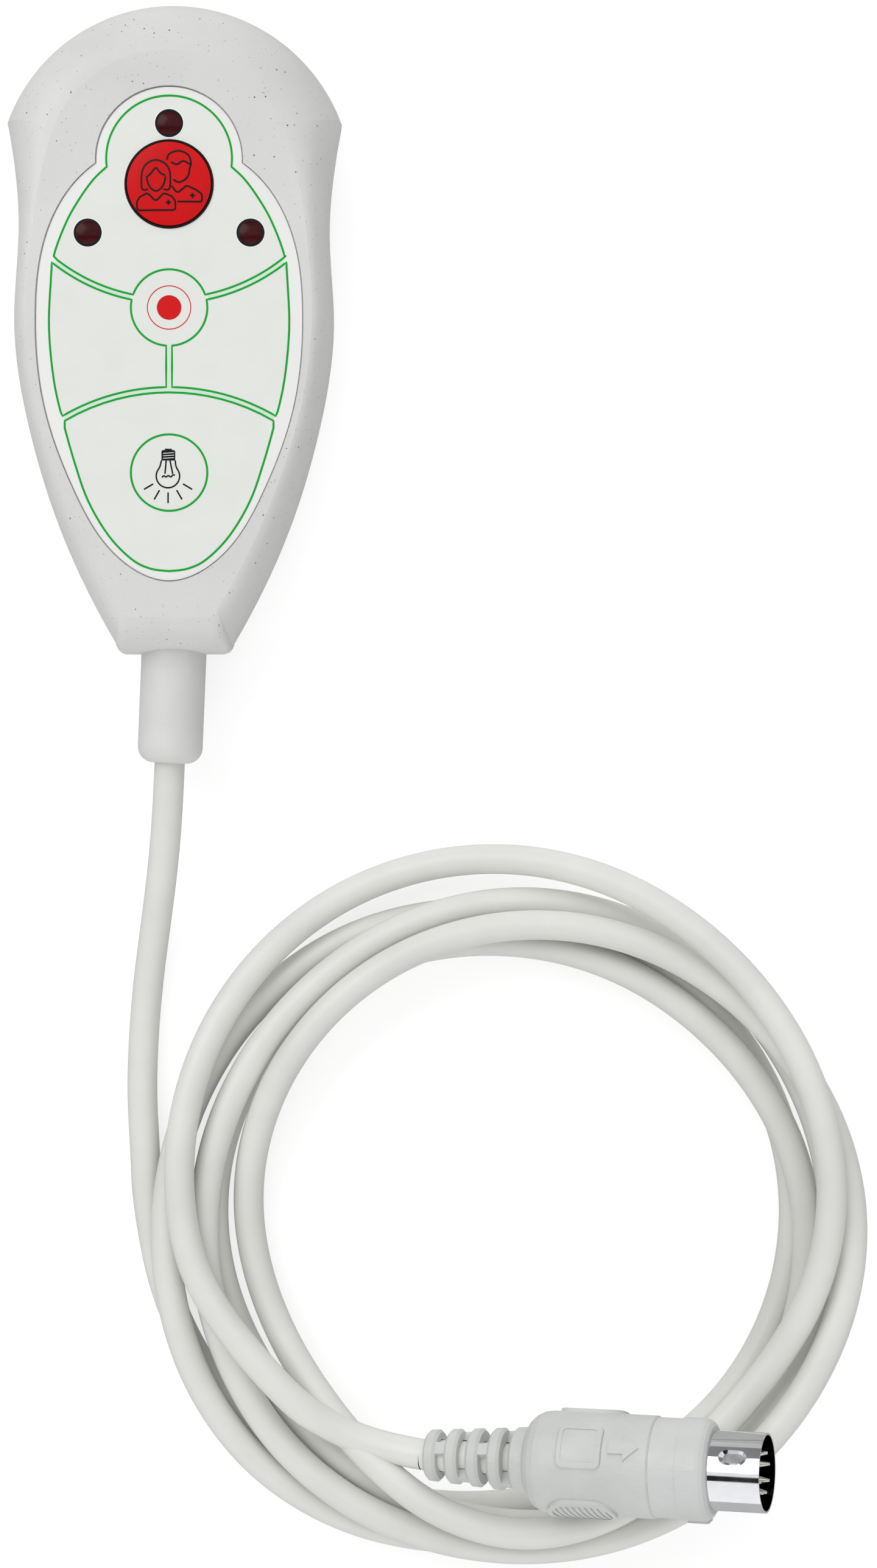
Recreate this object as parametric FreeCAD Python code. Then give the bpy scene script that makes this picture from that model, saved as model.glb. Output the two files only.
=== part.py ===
import FreeCAD, Part
import math
import os
from FreeCAD import Vector, Rotation, Placement

# Nurse-call pendant switch with membrane keypad, cable and 7-pin round plug.
# Millimetres. The handset lies on its back, keypad up. X is across the handset,
# Y runs from the cable end (-) to the rounded head (+), Z is up.
# The origin is on the floor under the middle of the handset.

# Handset outline, seen from above: y of each station and half the width there
HEAD_TOP_Y = 56.45
SHOULDER_Y, SHOULDER_HALF = 36.0, 29.15
NECK_Y, NECK_HALF = 27.5, 27.75
WAIST_Y, WAIST_HALF = 16.4, 27.0
BELLY_Y, BELLY_HALF = 1.5, 27.75
FLANK_Y, FLANK_HALF = -17.65, 25.1
HIP_Y, HIP_HALF = -34.7, 19.9
FOOT_Y, FOOT_HALF = -54.8, 10.1
TAIL_Y, TAIL_HALF = -56.45, 8.5

# The same stations on the flat face around the keypad, and on the flat of the back
FACE = {"head": 46.4, "shoulder": (33.0, 19.6), "neck": (26.5, 21.6), "waist": (16.4, 23.3),
        "belly": (1.5, 24.4), "flank": (-17.4, 21.9), "hip": (-33.5, 16.4),
        "foot": (-49.0, 8.4), "tail": (-50.6, 7.0)}
BACK = {"head": 49.5, "shoulder": (33.5, 23.0), "neck": (26.5, 22.3), "waist": (16.4, 21.9),
        "belly": (1.5, 22.4), "flank": (-17.4, 19.9), "hip": (-33.5, 15.2),
        "foot": (-49.5, 7.9), "tail": (-51.0, 6.6)}

# Heights of the handset
BACK_Z = 0.0
PARTING_Z = 12.5
FACE_Z = 24.4
WALL = 2.2
END_BLOCK = 6.6
FRONT_CROWN = [(0.0, 0.0), (0.05, 0.30), (0.22, 0.62), (0.52, 0.87), (1.0, 1.0)]
REAR_CROWN = [(0.0, 0.0), (0.06, 0.40), (0.26, 0.74), (0.58, 0.93), (1.0, 1.0)]

# Groove and cord of the housing seal
SEAL_INSET = 0.75
SEAL_WIDTH = 0.8
SEAL_DEPTH = 0.9

# Keypad foil and its recess
FOIL_THICK = 0.5
FOIL_RECESS = 0.8
FOIL_GAP = 0.25
LOBE_Y, LOBE_R = 27.6, 12.4
NOTCH_Y = 27.0
FOIL_SIDE = [(17.9, 21.2), (21.3, 13.4), (22.7, 1.5), (21.2, -14.6), (15.9, -29.4), (8.3, -40.6)]
FOIL_BOTTOM_Y = -44.3

# Call button with its black seal ring
CALL_Y = 23.4
CALL_R = 7.15
CALL_SEAL_R = 7.62
CALL_GAP = 0.15
CALL_RISE = 0.45
CALL_DOME = 0.5
CALL_NOTCH_GAP = 0.3

# Touch keys under the foil
KEY_R = 5.0
KEY_GAP = 0.2
KEY_FLANGE = 1.2
KEY_FLANGE_T = 1.1
FLANGE_GAP = 0.1
KEYS = {"left": (-10.6, -3.0), "right": (10.6, -3.0), "light": (0.0, -25.9)}

# Indicator lenses
LENS_R = 2.0
LENS_GAP = 0.1
LENS_FLANGE = 0.7
LENS_FLANGE_T = 0.8
LENS_STAND = 0.1
LENS_RISE = 0.45
LENSES = {"top": (0.0, 33.8), "left": (-13.9, 15.1), "right": (13.9, 15.1)}
LED_R = 1.5
LED_GAP = 0.5
LED_BASE = 0.8
LED_BASE_RIM = 0.3

# Circuit board and what is soldered to it
BOARD_THICK = 1.6
BOARD_TOP_Z = 15.0
BOARD_END_Y = -33.2
BOARD_TOP_Y = 38.5
BOARD_EDGE_GAP = 1.6
BOARD_HOLE_GAP = 0.15
SWITCH_SIDE = 6.2
SWITCH_TALL = 3.4
SWITCH_FLOOR = 1.0
PLUNGER_R = 1.7
PLUNGER_GAP = 0.15
SWITCH_TRAVEL = 0.8
STOP_GAP = 0.3
CONNECTOR = (16.0, 4.6, 4.8)
CONNECTOR_Y = -29.6
WIRE_R = 0.4
WIRE_SPREAD = 1.55
WIRE_COUNT = 7

# Posts and screws
POST_R = 2.7
BOARD_POSTS = [(-19.0, 4.5), (19.0, 4.5), (0.0, -13.6)]
BOARD_SCREW_R = 1.0
BOARD_HEAD_R = 1.9
BOARD_HEAD_T = 1.3
BOARD_SCREW_GAP = 0.5
DRIVE_LONG = 1.3
DRIVE_WIDE = 0.6
BOSS_R = 3.3
BOSS_GAP = 0.6
HOUSING_SCREWS = [(-20.5, 31.0), (20.5, 31.0), (-14.2, -36.2), (14.2, -36.2)]
SCREW_R = 1.25
SCREW_HEAD_R = 2.4
SCREW_HEAD_T = 1.9
SCREW_SINK = 4.2
SCREW_BITE = 5.0
SCREW_TIP_GAP = 0.5
SCREW_HEAD_GAP = 0.2

# Cable, sleeve and clamp
CABLE_R = 2.65
SLEEVE_R = 5.65
SLEEVE_OUT = 19.0
SLEEVE_END_ROUND = 2.8
SLEEVE_LEAN = -2.3
SLEEVE_AXIS_X = -0.2
COLLAR_R = 6.9
COLLAR_T = 2.2
CLAMP_AT = 14.6
CLAMP_WIDE = 17.0
CLAMP_LONG = 5.0
CLAMP_THICK = 4.6
CLAMP_SCREW_X = 6.1
CLAMP_SCREW_DEEP = 6.0
CLAMP_GAP = 0.2
COLLAR_GAP = 0.2
CABLE_INSIDE = 18.8

# Route of the free cable from the sleeve to the coil, on the floor
LEAD_ROUTE = [(-0.96, -75.43, 12.5), (-1.32, -84.4, 12.5), (-2.5, -94.5, 9.4), (-4.1, -104.0, 5.2),
              (-5.6, -113.8, 2.9), (-6.5, -124.0, 2.75), (-6.8, -134.5, 2.75), (-6.2, -144.5, 2.75),
              (-5.1, -153.5, 2.75)]
# and from the coil up to the plug
TAIL_ROUTE = [(13.2, -186.8, 12.8), (20.0, -191.2, 11.9), (27.6, -194.3, 12.0), (35.6, -195.7, 13.4),
              (43.35, -195.5, 16.0)]

# Loose coil: its centre, and every 45 degrees from +X the inner and outer edge and height
COIL_CENTRE = (59.9, -153.6)
COIL_INNER = [46.6, 43.1, 43.8, 45.4, 45.0, 46.4, 51.8, 48.0]
COIL_OUTER = [60.5, 59.2, 63.9, 65.3, 64.5, 67.0, 61.6, 60.9]
COIL_TALL = [22.0, 20.5, 15.5, 13.5, 14.5, 17.0, 20.0, 17.5]
COIL_EDGE = 0.3

# Plug: lies with its nose raised on the coil
PLUG_REAR = (43.35, -195.5, 16.0)
PLUG_PITCH = 18.6
PLUG_YAW = 1.3
PLUG_ROLL = 33.0
BOOT_FROM = 1.1
BOOT_LONG = 19.2
BOOT_REAR_R = 4.3
BOOT_FRONT_R = 5.6
BOOT_BORE_GAP = 0.15
BOOT_END_RING = 2.3
SLOT_COUNT = 4
SLOT_WIDE = 1.6
RING_WIDE = 2.33
RING_ROUND = 0.5
BRIDGE_WIDE = 2.0
BODY_LONG = 23.0
BODY_R = 8.55
BODY_ROUND = 4.2
BODY_LIP = 0.4
PAD_LONG, PAD_WIDE, PAD_RISE = 7.8, 7.6, 0.5
PAD_AT = 7.1
PAD_CORNER = 1.2
PAD_EDGE = 0.25
PAD_RIM, PAD_PANEL_DEEP = 0.9, 0.12
ARROW_LONG, ARROW_WIDE = 5.2, 4.6
ARROW_AT = 16.1
ARROW_RISE = 0.35
GRIP_LONG, GRIP_WIDE, GRIP_RISE = 12.0, 7.2, 0.6
GRIP_RIM = 0.8
GRIP_FIELD_DEEP = 0.35
GRIP_RIB_DEEP = 0.12
GRIP_SLANT = 12
GRIP_AT = 4.7
GRIP_RIBS = 11
COLLAR_LONG, PLUG_COLLAR_R = 4.6, 8.3
LIP_LONG, LIP_R = 5.0, 8.5
LIP_NOSE = [(1.6, 0.0), (1.0, 0.15), (0.4, 0.55), (0.0, 1.2)]
SPIGOT_R, SPIGOT_LONG = 7.2, 13.0
KEY_TAB = (3.6, 3.0, 0.25)
KEY_TAB_AT = 0.5
KEY_TAB_TURN = 122
SHELL_R, SHELL_WALL = 6.6, 0.4
SHELL_STEP = 0.35
SHELL_OUT = 8.9
SHELL_IN = 12.0
DIMPLE_AT = 1.9
DIMPLE_LONG, DIMPLE_WIDE, DIMPLE_DEEP = 4.8, 3.0, 0.5
DIMPLE_SLOPE = 0.7
INSULATOR_BACK = 6.0
INSULATOR_DEEP = 9.3
PIN_R = 0.725
PIN_CIRCLE_R = 3.5
PIN_COUNT = 7
PIN_STEP = 45.0
PIN_SHORT = 0.3
PIN_TIP_LONG, PIN_TIP_R = 1.6, 0.25
PIN_TAIL = 3.0


def node(name, shape):
    os.makedirs("parts", exist_ok=True)
    shape.exportStep("parts/" + name + ".step")


def tube(radius, bottom, top, x=0.0, y=0.0):
    return Part.makeCylinder(radius, top - bottom, Vector(x, y, bottom))


def block(x_size, y_size, bottom, top, x=0.0, y=0.0):
    return Part.makeBox(x_size, y_size, top - bottom, Vector(x - x_size / 2, y - y_size / 2, bottom))


def fused(shapes):
    return shapes[0].multiFuse(shapes[1:]).removeSplitter()


# Stations of the outline at the parting line
RIM = {"head": HEAD_TOP_Y, "shoulder": (SHOULDER_Y, SHOULDER_HALF), "neck": (NECK_Y, NECK_HALF),
       "waist": (WAIST_Y, WAIST_HALF), "belly": (BELLY_Y, BELLY_HALF), "flank": (FLANK_Y, FLANK_HALF),
       "hip": (HIP_Y, HIP_HALF), "foot": (FOOT_Y, FOOT_HALF), "tail": (TAIL_Y, TAIL_HALF)}
SIDE = ["shoulder", "neck", "waist", "belly", "flank", "hip", "foot"]


def section(other, share, inset, z, end_inset=None):
    """Outline between the rim and another set of stations, drawn in by an inset."""
    end = inset if end_inset is None else end_inset

    def station(name):
        y0, half0 = RIM[name]
        y1, half1 = other[name]
        y = y0 + share * (y1 - y0)
        half = half0 + share * (half1 - half0)
        if name == "shoulder":
            return half - 1.2 * inset, y - 0.5 * inset
        if name in ("foot", "tail"):
            return half - 0.6 * inset, y + end
        return half - inset, y

    head = RIM["head"] + share * (other["head"] - RIM["head"]) - inset
    right = [Vector(station(n)[0], station(n)[1], z) for n in SIDE]
    left = [Vector(-p.x, p.y, z) for p in right]
    tail_half, tail_y = station("tail")
    foot = right[-1]
    corner = Vector(tail_half + 0.68 * (foot.x - tail_half), tail_y + 0.32 * (foot.y - tail_y), z)
    dome = Part.Arc(left[0], Vector(0, head, z), right[0]).toShape()
    down = [SHOULDER_Y - RIM[n][0] for n in SIDE]
    right_side = Part.BSplineCurve()
    right_side.interpolate(Points=right, Parameters=down)
    left_side = Part.BSplineCurve()
    left_side.interpolate(Points=left[::-1], Parameters=[down[-1] - d for d in down[::-1]])
    tail_right = Vector(tail_half, tail_y, z)
    tail_left = Vector(-tail_half, tail_y, z)
    edges = [dome, right_side.toShape(),
             Part.Arc(right[-1], corner, tail_right).toShape(),
             Part.LineSegment(tail_right, tail_left).toShape(),
             Part.Arc(tail_left, Vector(-corner.x, corner.y, z), left[-1]).toShape(),
             left_side.toShape()]
    return Part.Wire(edges)


def crowned(other, crown, z_from, z_to, inset, end_inset=None, straight=True):
    """Half a housing: lofted from the parting line over its rounded edge."""
    wires = [section(other, share, inset, z_from + rise * (z_to - z_from), end_inset)
             for share, rise in crown]
    return Part.makeLoft(wires, True, straight)


def rim_band(inset, width, z_from, z_to):
    outer = Part.Face(section(FACE, 0.0, inset, z_from)).extrude(Vector(0, 0, z_to - z_from))
    inner = Part.Face(section(FACE, 0.0, inset + width, z_from)).extrude(Vector(0, 0, z_to - z_from))
    return outer.cut(inner)


def foil_outline(grow, z):
    """Foil: a round lobe round the call button, widening into an egg-shaped field."""
    notch_x = math.sqrt(LOBE_R ** 2 - (NOTCH_Y - LOBE_Y) ** 2)
    right = [Vector(notch_x + grow, NOTCH_Y, z)]
    right += [Vector(x + grow, y, z) for x, y in FOIL_SIDE[:-1]]
    right += [Vector(FOIL_SIDE[-1][0] + 0.6 * grow, FOIL_SIDE[-1][1] - 0.8 * grow, z),
              Vector(0, FOIL_BOTTOM_Y - grow, z)]
    left = [Vector(-p.x, p.y, z) for p in right[:-1]]
    lobe = Part.Arc(left[0], Vector(0, LOBE_Y + LOBE_R + grow, z), right[0]).toShape()
    side = Part.BSplineCurve()
    side.interpolate(right + left[::-1])
    return Part.Face(Part.Wire([lobe, side.toShape()]))


# Levels that the keys, lenses and board share
FOIL_UNDER_Z = FACE_Z - FOIL_RECESS
FOIL_TOP_Z = FOIL_UNDER_Z + FOIL_THICK
PLATE_UNDER_Z = FACE_Z - WALL
BOARD_UNDER_Z = BOARD_TOP_Z - BOARD_THICK
SWITCH_TOP_Z = BOARD_TOP_Z + SWITCH_TALL
PLUNGER_TOP_Z = SWITCH_TOP_Z + SWITCH_TRAVEL + STOP_GAP
SWITCH_FLOOR_Z = BOARD_TOP_Z + SWITCH_FLOOR
FLANGE_TOP_Z = PLATE_UNDER_Z - FLANGE_GAP


def on_sleeve_axis(shape):
    """Turns what is drawn along -Y from the end face into the leaning sleeve's line."""
    turned = shape.copy()
    turned.rotate(Vector(0, TAIL_Y, 0), Vector(0, 0, 1), SLEEVE_LEAN)
    turned.translate(Vector(SLEEVE_AXIS_X, 0, 0))
    return turned


def along_cable(radius, start, end):
    """Cylinder on the sleeve's axis, from start to end mm outside the end face."""
    rod = Part.makeCylinder(radius, end - start, Vector(0, TAIL_Y - start, PARTING_Z), Vector(0, -1, 0))
    return on_sleeve_axis(rod)


def collar_pocket():
    """Room behind the end block for the sleeve's collar."""
    return along_cable(COLLAR_R + COLLAR_GAP, -END_BLOCK - COLLAR_T - WALL, -END_BLOCK)


def front_shell():
    outer = crowned(FACE, FRONT_CROWN, PARTING_Z, FACE_Z, 0.0, straight=False)
    cavity = crowned(FACE, FRONT_CROWN, PARTING_Z, PLATE_UNDER_Z, WALL, END_BLOCK)
    shell = outer.cut(cavity)
    posts = [tube(POST_R, BOARD_TOP_Z, FACE_Z - WALL / 2, x, y) for x, y in BOARD_POSTS]
    posts += [tube(BOSS_R, PARTING_Z, FACE_Z, x, y) for x, y in HOUSING_SCREWS]
    limit = crowned(FACE, FRONT_CROWN, PARTING_Z, FACE_Z - FOIL_RECESS, WALL / 2)
    shell = fused([shell] + [p.common(limit) for p in posts])
    holes = [foil_outline(FOIL_GAP, FOIL_UNDER_Z).extrude(Vector(0, 0, 2 * FOIL_RECESS))]
    holes.append(tube(CALL_SEAL_R, PLATE_UNDER_Z - WALL, FACE_Z, 0, CALL_Y))
    holes += [tube(KEY_R + KEY_GAP, PLATE_UNDER_Z - WALL, FACE_Z, x, y) for x, y in KEYS.values()]
    holes += [tube(LENS_R, PLATE_UNDER_Z - WALL, FACE_Z, x, y) for x, y in LENSES.values()]
    holes += [tube(BOARD_SCREW_R, BOARD_TOP_Z - 1, FOIL_UNDER_Z - WALL, x, y) for x, y in BOARD_POSTS]
    holes += [tube(SCREW_R, PARTING_Z - 1, PARTING_Z + SCREW_BITE, x, y) for x, y in HOUSING_SCREWS]
    holes.append(along_cable(SLEEVE_R, -END_BLOCK - WALL, WALL))
    holes.append(collar_pocket())
    for hole in holes:
        shell = shell.cut(hole)
    return shell


def rear_shell():
    outer = crowned(BACK, REAR_CROWN, PARTING_Z, BACK_Z, 0.0, straight=False)
    cavity = crowned(BACK, REAR_CROWN, PARTING_Z, BACK_Z + WALL, WALL, END_BLOCK)
    shell = outer.cut(cavity)
    bosses = [tube(BOSS_R, BACK_Z, PARTING_Z, x, y) for x, y in HOUSING_SCREWS]
    bed = block(CLAMP_WIDE, CLAMP_LONG, BACK_Z, PARTING_Z - CLAMP_GAP)
    bed.translate(Vector(0, TAIL_Y + CLAMP_AT, 0))
    bosses.append(on_sleeve_axis(bed))
    limit = crowned(BACK, REAR_CROWN, PARTING_Z, BACK_Z + WALL / 2, WALL / 2)
    shell = fused([shell] + [b.common(limit) for b in bosses])
    holes = [rim_band(SEAL_INSET, SEAL_WIDTH, PARTING_Z - SEAL_DEPTH, PARTING_Z)]
    holes += [tube(SCREW_R, BACK_Z, PARTING_Z, x, y) for x, y in HOUSING_SCREWS]
    holes += [tube(SCREW_HEAD_R + SCREW_HEAD_GAP, BACK_Z - 1, BACK_Z + SCREW_SINK + SCREW_HEAD_T, x, y)
              for x, y in HOUSING_SCREWS]
    holes.append(along_cable(SLEEVE_R, -END_BLOCK - WALL, WALL))
    holes.append(along_cable(CABLE_R, -CABLE_INSIDE, 0))
    holes.append(collar_pocket())
    for x in (-CLAMP_SCREW_X, CLAMP_SCREW_X):
        pilot = tube(BOARD_SCREW_R, PARTING_Z - CLAMP_SCREW_DEEP, PARTING_Z, x, TAIL_Y + CLAMP_AT)
        holes.append(on_sleeve_axis(pilot))
    for hole in holes:
        shell = shell.cut(hole)
    return shell


def housing_seal():
    band = rim_band(SEAL_INSET, SEAL_WIDTH, PARTING_Z - SEAL_DEPTH, PARTING_Z)
    return band.cut(along_cable(SLEEVE_R, -END_BLOCK, WALL))


def housing_screws():
    """Four countersunk-deep screws from the back into the front shell's bosses."""
    seat = BACK_Z + SCREW_SINK + SCREW_HEAD_T
    drive_long = SCREW_HEAD_R * DRIVE_LONG
    face, recess = seat - SCREW_HEAD_T, seat - SCREW_HEAD_T / 2
    screws = []
    for x, y in HOUSING_SCREWS:
        screw = tube(SCREW_HEAD_R, face, seat, x, y)
        screw = screw.fuse(tube(SCREW_R, seat, PARTING_Z + SCREW_BITE - SCREW_TIP_GAP, x, y))
        drive = block(drive_long, DRIVE_WIDE, face, recess, x, y)
        cross = block(DRIVE_WIDE, drive_long, face, recess, x, y)
        screws.append(screw.cut(drive).cut(cross))
    return Part.makeCompound(screws)


def keypad_overlay():
    foil = foil_outline(0.0, FOIL_UNDER_Z).extrude(Vector(0, 0, FOIL_THICK))
    foil = foil.cut(tube(CALL_SEAL_R, FOIL_UNDER_Z, FACE_Z, 0, CALL_Y))
    for x, y in LENSES.values():
        foil = foil.cut(tube(LENS_R + LENS_GAP, FOIL_UNDER_Z, FACE_Z, x, y))
    return foil


def domed(radius, bottom, top, rise, x, y):
    """Cylinder whose top is a shallow dome."""
    sphere_r = (radius ** 2 + rise ** 2) / (2 * rise)
    ball = Part.makeSphere(sphere_r, Vector(x, y, top + rise - sphere_r))
    cap = tube(radius, top, top + rise, x, y).common(ball)
    return tube(radius, bottom, top, x, y).fuse(cap)


def call_button():
    cap = domed(CALL_R, FLANGE_TOP_Z, FOIL_TOP_Z + CALL_RISE, CALL_DOME, 0, CALL_Y)
    flange = tube(CALL_SEAL_R + KEY_FLANGE, FLANGE_TOP_Z - KEY_FLANGE_T, FLANGE_TOP_Z, 0, CALL_Y)
    notch_x, notch_y = LENSES["top"]
    flange = flange.cut(tube(LENS_R + LENS_FLANGE + CALL_NOTCH_GAP, BOARD_TOP_Z, FACE_Z, notch_x, notch_y))
    stem = tube(PLUNGER_R, PLUNGER_TOP_Z, FLANGE_TOP_Z - KEY_FLANGE_T, 0, CALL_Y)
    return fused([cap, flange, stem])


def call_button_seal():
    ring = tube(CALL_SEAL_R, PLATE_UNDER_Z, FOIL_TOP_Z + CALL_RISE / 2, 0, CALL_Y)
    return ring.cut(tube(CALL_R + CALL_GAP, PLATE_UNDER_Z, FACE_Z + 1, 0, CALL_Y))


def touch_key(x, y):
    head = tube(KEY_R, FLANGE_TOP_Z, FOIL_UNDER_Z - FLANGE_GAP, x, y)
    flange = tube(KEY_R + KEY_FLANGE, FLANGE_TOP_Z - KEY_FLANGE_T, FLANGE_TOP_Z, x, y)
    stem = tube(PLUNGER_R, PLUNGER_TOP_Z, FLANGE_TOP_Z - KEY_FLANGE_T, x, y)
    return fused([head, flange, stem])


def lens(x, y):
    top = FOIL_TOP_Z + LENS_STAND
    body = domed(LENS_R, PLATE_UNDER_Z, top, LENS_RISE, x, y)
    flange = tube(LENS_R + LENS_FLANGE, PLATE_UNDER_Z - LENS_FLANGE_T, PLATE_UNDER_Z, x, y)
    return body.fuse(flange).removeSplitter()


def indicator_led(x, y):
    top = PLATE_UNDER_Z - LENS_FLANGE_T - LED_GAP
    dome = 0.9 * LED_R
    base = tube(LED_R + LED_BASE_RIM, BOARD_TOP_Z, BOARD_TOP_Z + LED_BASE, x, y)
    return base.fuse(domed(LED_R, BOARD_TOP_Z + LED_BASE, top - dome, dome, x, y)).removeSplitter()


def switch_case(x, y):
    case = block(SWITCH_SIDE, SWITCH_SIDE, BOARD_TOP_Z, SWITCH_TOP_Z, x, y)
    return case.cut(tube(PLUNGER_R + PLUNGER_GAP, SWITCH_FLOOR_Z, SWITCH_TOP_Z, x, y))


def switch_plunger(x, y):
    return tube(PLUNGER_R, SWITCH_FLOOR_Z + SWITCH_TRAVEL + STOP_GAP, PLUNGER_TOP_Z, x, y)


def circuit_board():
    """Board cut to the inside of the housing, clear of the four bosses."""
    inside = crowned(FACE, FRONT_CROWN, PARTING_Z, PLATE_UNDER_Z, WALL + BOARD_EDGE_GAP)
    board = block(2 * SHOULDER_HALF, BOARD_TOP_Y - BOARD_END_Y, BOARD_UNDER_Z, BOARD_TOP_Z,
                  0, (BOARD_TOP_Y + BOARD_END_Y) / 2).common(inside)
    for x, y in HOUSING_SCREWS:
        board = board.cut(tube(BOSS_R + BOSS_GAP, BOARD_UNDER_Z, BOARD_TOP_Z, x, y))
    for x, y in BOARD_POSTS:
        board = board.cut(tube(BOARD_SCREW_R + BOARD_HOLE_GAP, BOARD_UNDER_Z, BOARD_TOP_Z, x, y))
    return board


def board_screws():
    screws = []
    for x, y in BOARD_POSTS:
        head = tube(BOARD_HEAD_R, BOARD_UNDER_Z - BOARD_HEAD_T, BOARD_UNDER_Z, x, y)
        shank = tube(BOARD_SCREW_R, BOARD_UNDER_Z, FOIL_UNDER_Z - WALL - BOARD_SCREW_GAP, x, y)
        slot = block(BOARD_HEAD_R * DRIVE_LONG, DRIVE_WIDE, BOARD_UNDER_Z - BOARD_HEAD_T,
                     BOARD_UNDER_Z - BOARD_HEAD_T / 2, x, y)
        screws.append(head.fuse(shank).cut(slot))
    return Part.makeCompound(screws)


def cable_connector():
    wide, deep, tall = CONNECTOR
    return block(wide, deep, BOARD_UNDER_Z - tall, BOARD_UNDER_Z, 0, CONNECTOR_Y)


def cable_wires():
    """One wire for each contact of the plug, from the cable's end to the connector."""
    start_y = TAIL_Y + CABLE_INSIDE
    end_y = CONNECTOR_Y - CONNECTOR[1] / 2
    step = CONNECTOR[0] / (WIRE_COUNT + 1)
    wires = []
    for i in range(WIRE_COUNT):
        turn = math.radians(360 / WIRE_COUNT * i)
        spread = 0.0 if i == 0 else WIRE_SPREAD
        cable_x = SLEEVE_AXIS_X - CABLE_INSIDE * math.sin(math.radians(SLEEVE_LEAN))
        start = Vector(cable_x - spread * math.cos(turn), start_y, PARTING_Z + spread * math.sin(turn))
        end = Vector((i - (WIRE_COUNT - 1) / 2) * step, end_y, BOARD_UNDER_Z - CONNECTOR[2] / 2)
        wires.append((start, end))
    order = sorted(range(WIRE_COUNT), key=lambda i: wires[i][0].x)
    ends = sorted((w[1] for w in wires), key=lambda p: p.x)
    solids = []
    for place, i in enumerate(order):
        start = wires[i][0]
        way = ends[place] - start
        solids.append(Part.makeCylinder(WIRE_R, way.Length, start, way))
    return Part.makeCompound(solids)


def cable_clamp():
    bar = block(CLAMP_WIDE, CLAMP_LONG, PARTING_Z + CLAMP_GAP, PARTING_Z + CLAMP_GAP + CLAMP_THICK)
    bar.translate(Vector(0, TAIL_Y + CLAMP_AT, 0))
    bar = on_sleeve_axis(bar).cut(along_cable(CABLE_R, -CABLE_INSIDE - 1, 0))
    for x in (-CLAMP_SCREW_X, CLAMP_SCREW_X):
        hole = tube(BOARD_SCREW_R, PARTING_Z, PARTING_Z + CLAMP_THICK + 1, x, TAIL_Y + CLAMP_AT)
        bar = bar.cut(on_sleeve_axis(hole))
    return bar


def clamp_screws():
    top = PARTING_Z + CLAMP_GAP + CLAMP_THICK
    screws = []
    for x in (-CLAMP_SCREW_X, CLAMP_SCREW_X):
        screw = tube(BOARD_HEAD_R, top, top + BOARD_HEAD_T, x, TAIL_Y + CLAMP_AT)
        screw = screw.fuse(tube(BOARD_SCREW_R, PARTING_Z - CLAMP_SCREW_DEEP + SCREW_TIP_GAP, top,
                               x, TAIL_Y + CLAMP_AT))
        slot = block(BOARD_HEAD_R * DRIVE_LONG, DRIVE_WIDE, top + BOARD_HEAD_T / 2, top + BOARD_HEAD_T,
                     x, TAIL_Y + CLAMP_AT)
        screws.append(on_sleeve_axis(screw.cut(slot)))
    return Part.makeCompound(screws)


def cable_sleeve():
    """Soft sleeve round the cable, held by a collar behind the end block."""
    rod = Part.makeCylinder(SLEEVE_R, END_BLOCK + SLEEVE_OUT, Vector(0, TAIL_Y + END_BLOCK, PARTING_Z),
                            Vector(0, -1, 0))
    tip = [e for e in rod.Edges if abs(e.CenterOfMass.y - (TAIL_Y - SLEEVE_OUT)) < 0.01]
    rod = rod.makeFillet(SLEEVE_END_ROUND, [e for e in tip if e.isClosed()])
    collar = Part.makeCylinder(COLLAR_R, COLLAR_T, Vector(0, TAIL_Y + END_BLOCK + COLLAR_T, PARTING_Z),
                               Vector(0, -1, 0))
    bore = Part.makeCylinder(CABLE_R, END_BLOCK + COLLAR_T + SLEEVE_OUT,
                             Vector(0, TAIL_Y + END_BLOCK + COLLAR_T, PARTING_Z), Vector(0, -1, 0))
    return on_sleeve_axis(rod.fuse(collar).cut(bore).removeSplitter())


def cable_entry():
    return along_cable(CABLE_R, -CABLE_INSIDE, SLEEVE_OUT)


def cord_tube(name, route, radius):
    """Tube along straight runs joined by tangent arcs as large as the runs allow."""
    points = [Vector(*p) for p in route]
    edges = []
    at = points[0]
    length = 0.0
    radii = []
    for before, corner, after in zip(points, points[1:], points[2:]):
        into = corner - before
        out = after - corner
        turn = into.getAngle(out)
        shorter = min(into.Length, out.Length)
        bend = 0.45 * shorter / math.tan(turn / 2)
        radii.append(round(bend, 1))
        reach = 0.45 * shorter
        into.normalize()
        out.normalize()
        start = corner - into * reach
        end = corner + out * reach
        centre_way = (out - into).normalize()
        centre = corner + centre_way * (bend / math.cos(turn / 2))
        middle = centre - centre_way * bend
        edges.append(Part.LineSegment(at, start).toShape())
        edges.append(Part.Arc(start, middle, end).toShape())
        length += (start - at).Length + bend * turn
        at = end
    edges.append(Part.LineSegment(at, points[-1]).toShape())
    length += (points[-1] - at).Length
    path = Part.Wire(edges)
    first = points[1] - points[0]
    ring = Part.Wire(Part.Circle(points[0], first, radius).toShape())
    solid = path.makePipeShell([ring], True, False)
    share = solid.Volume / (math.pi * radius ** 2 * length)
    print(name, "length", round(length, 1), "radii", radii, "volume share", round(share, 4))
    return solid


def around(values, angle):
    """Value at an angle between stations 45 degrees apart, smooth all the way round."""
    step = 360 / len(values)
    place = (angle % 360) / step
    i = int(place)
    t = place - i
    count = len(values)
    a, b, c, d = (values[(i + k) % count] for k in (-1, 0, 1, 2))
    return 0.5 * (2 * b + (c - a) * t + (2 * a - 5 * b + 4 * c - d) * t ** 2
                  + (3 * b - a - 3 * c + d) * t ** 3)


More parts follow.
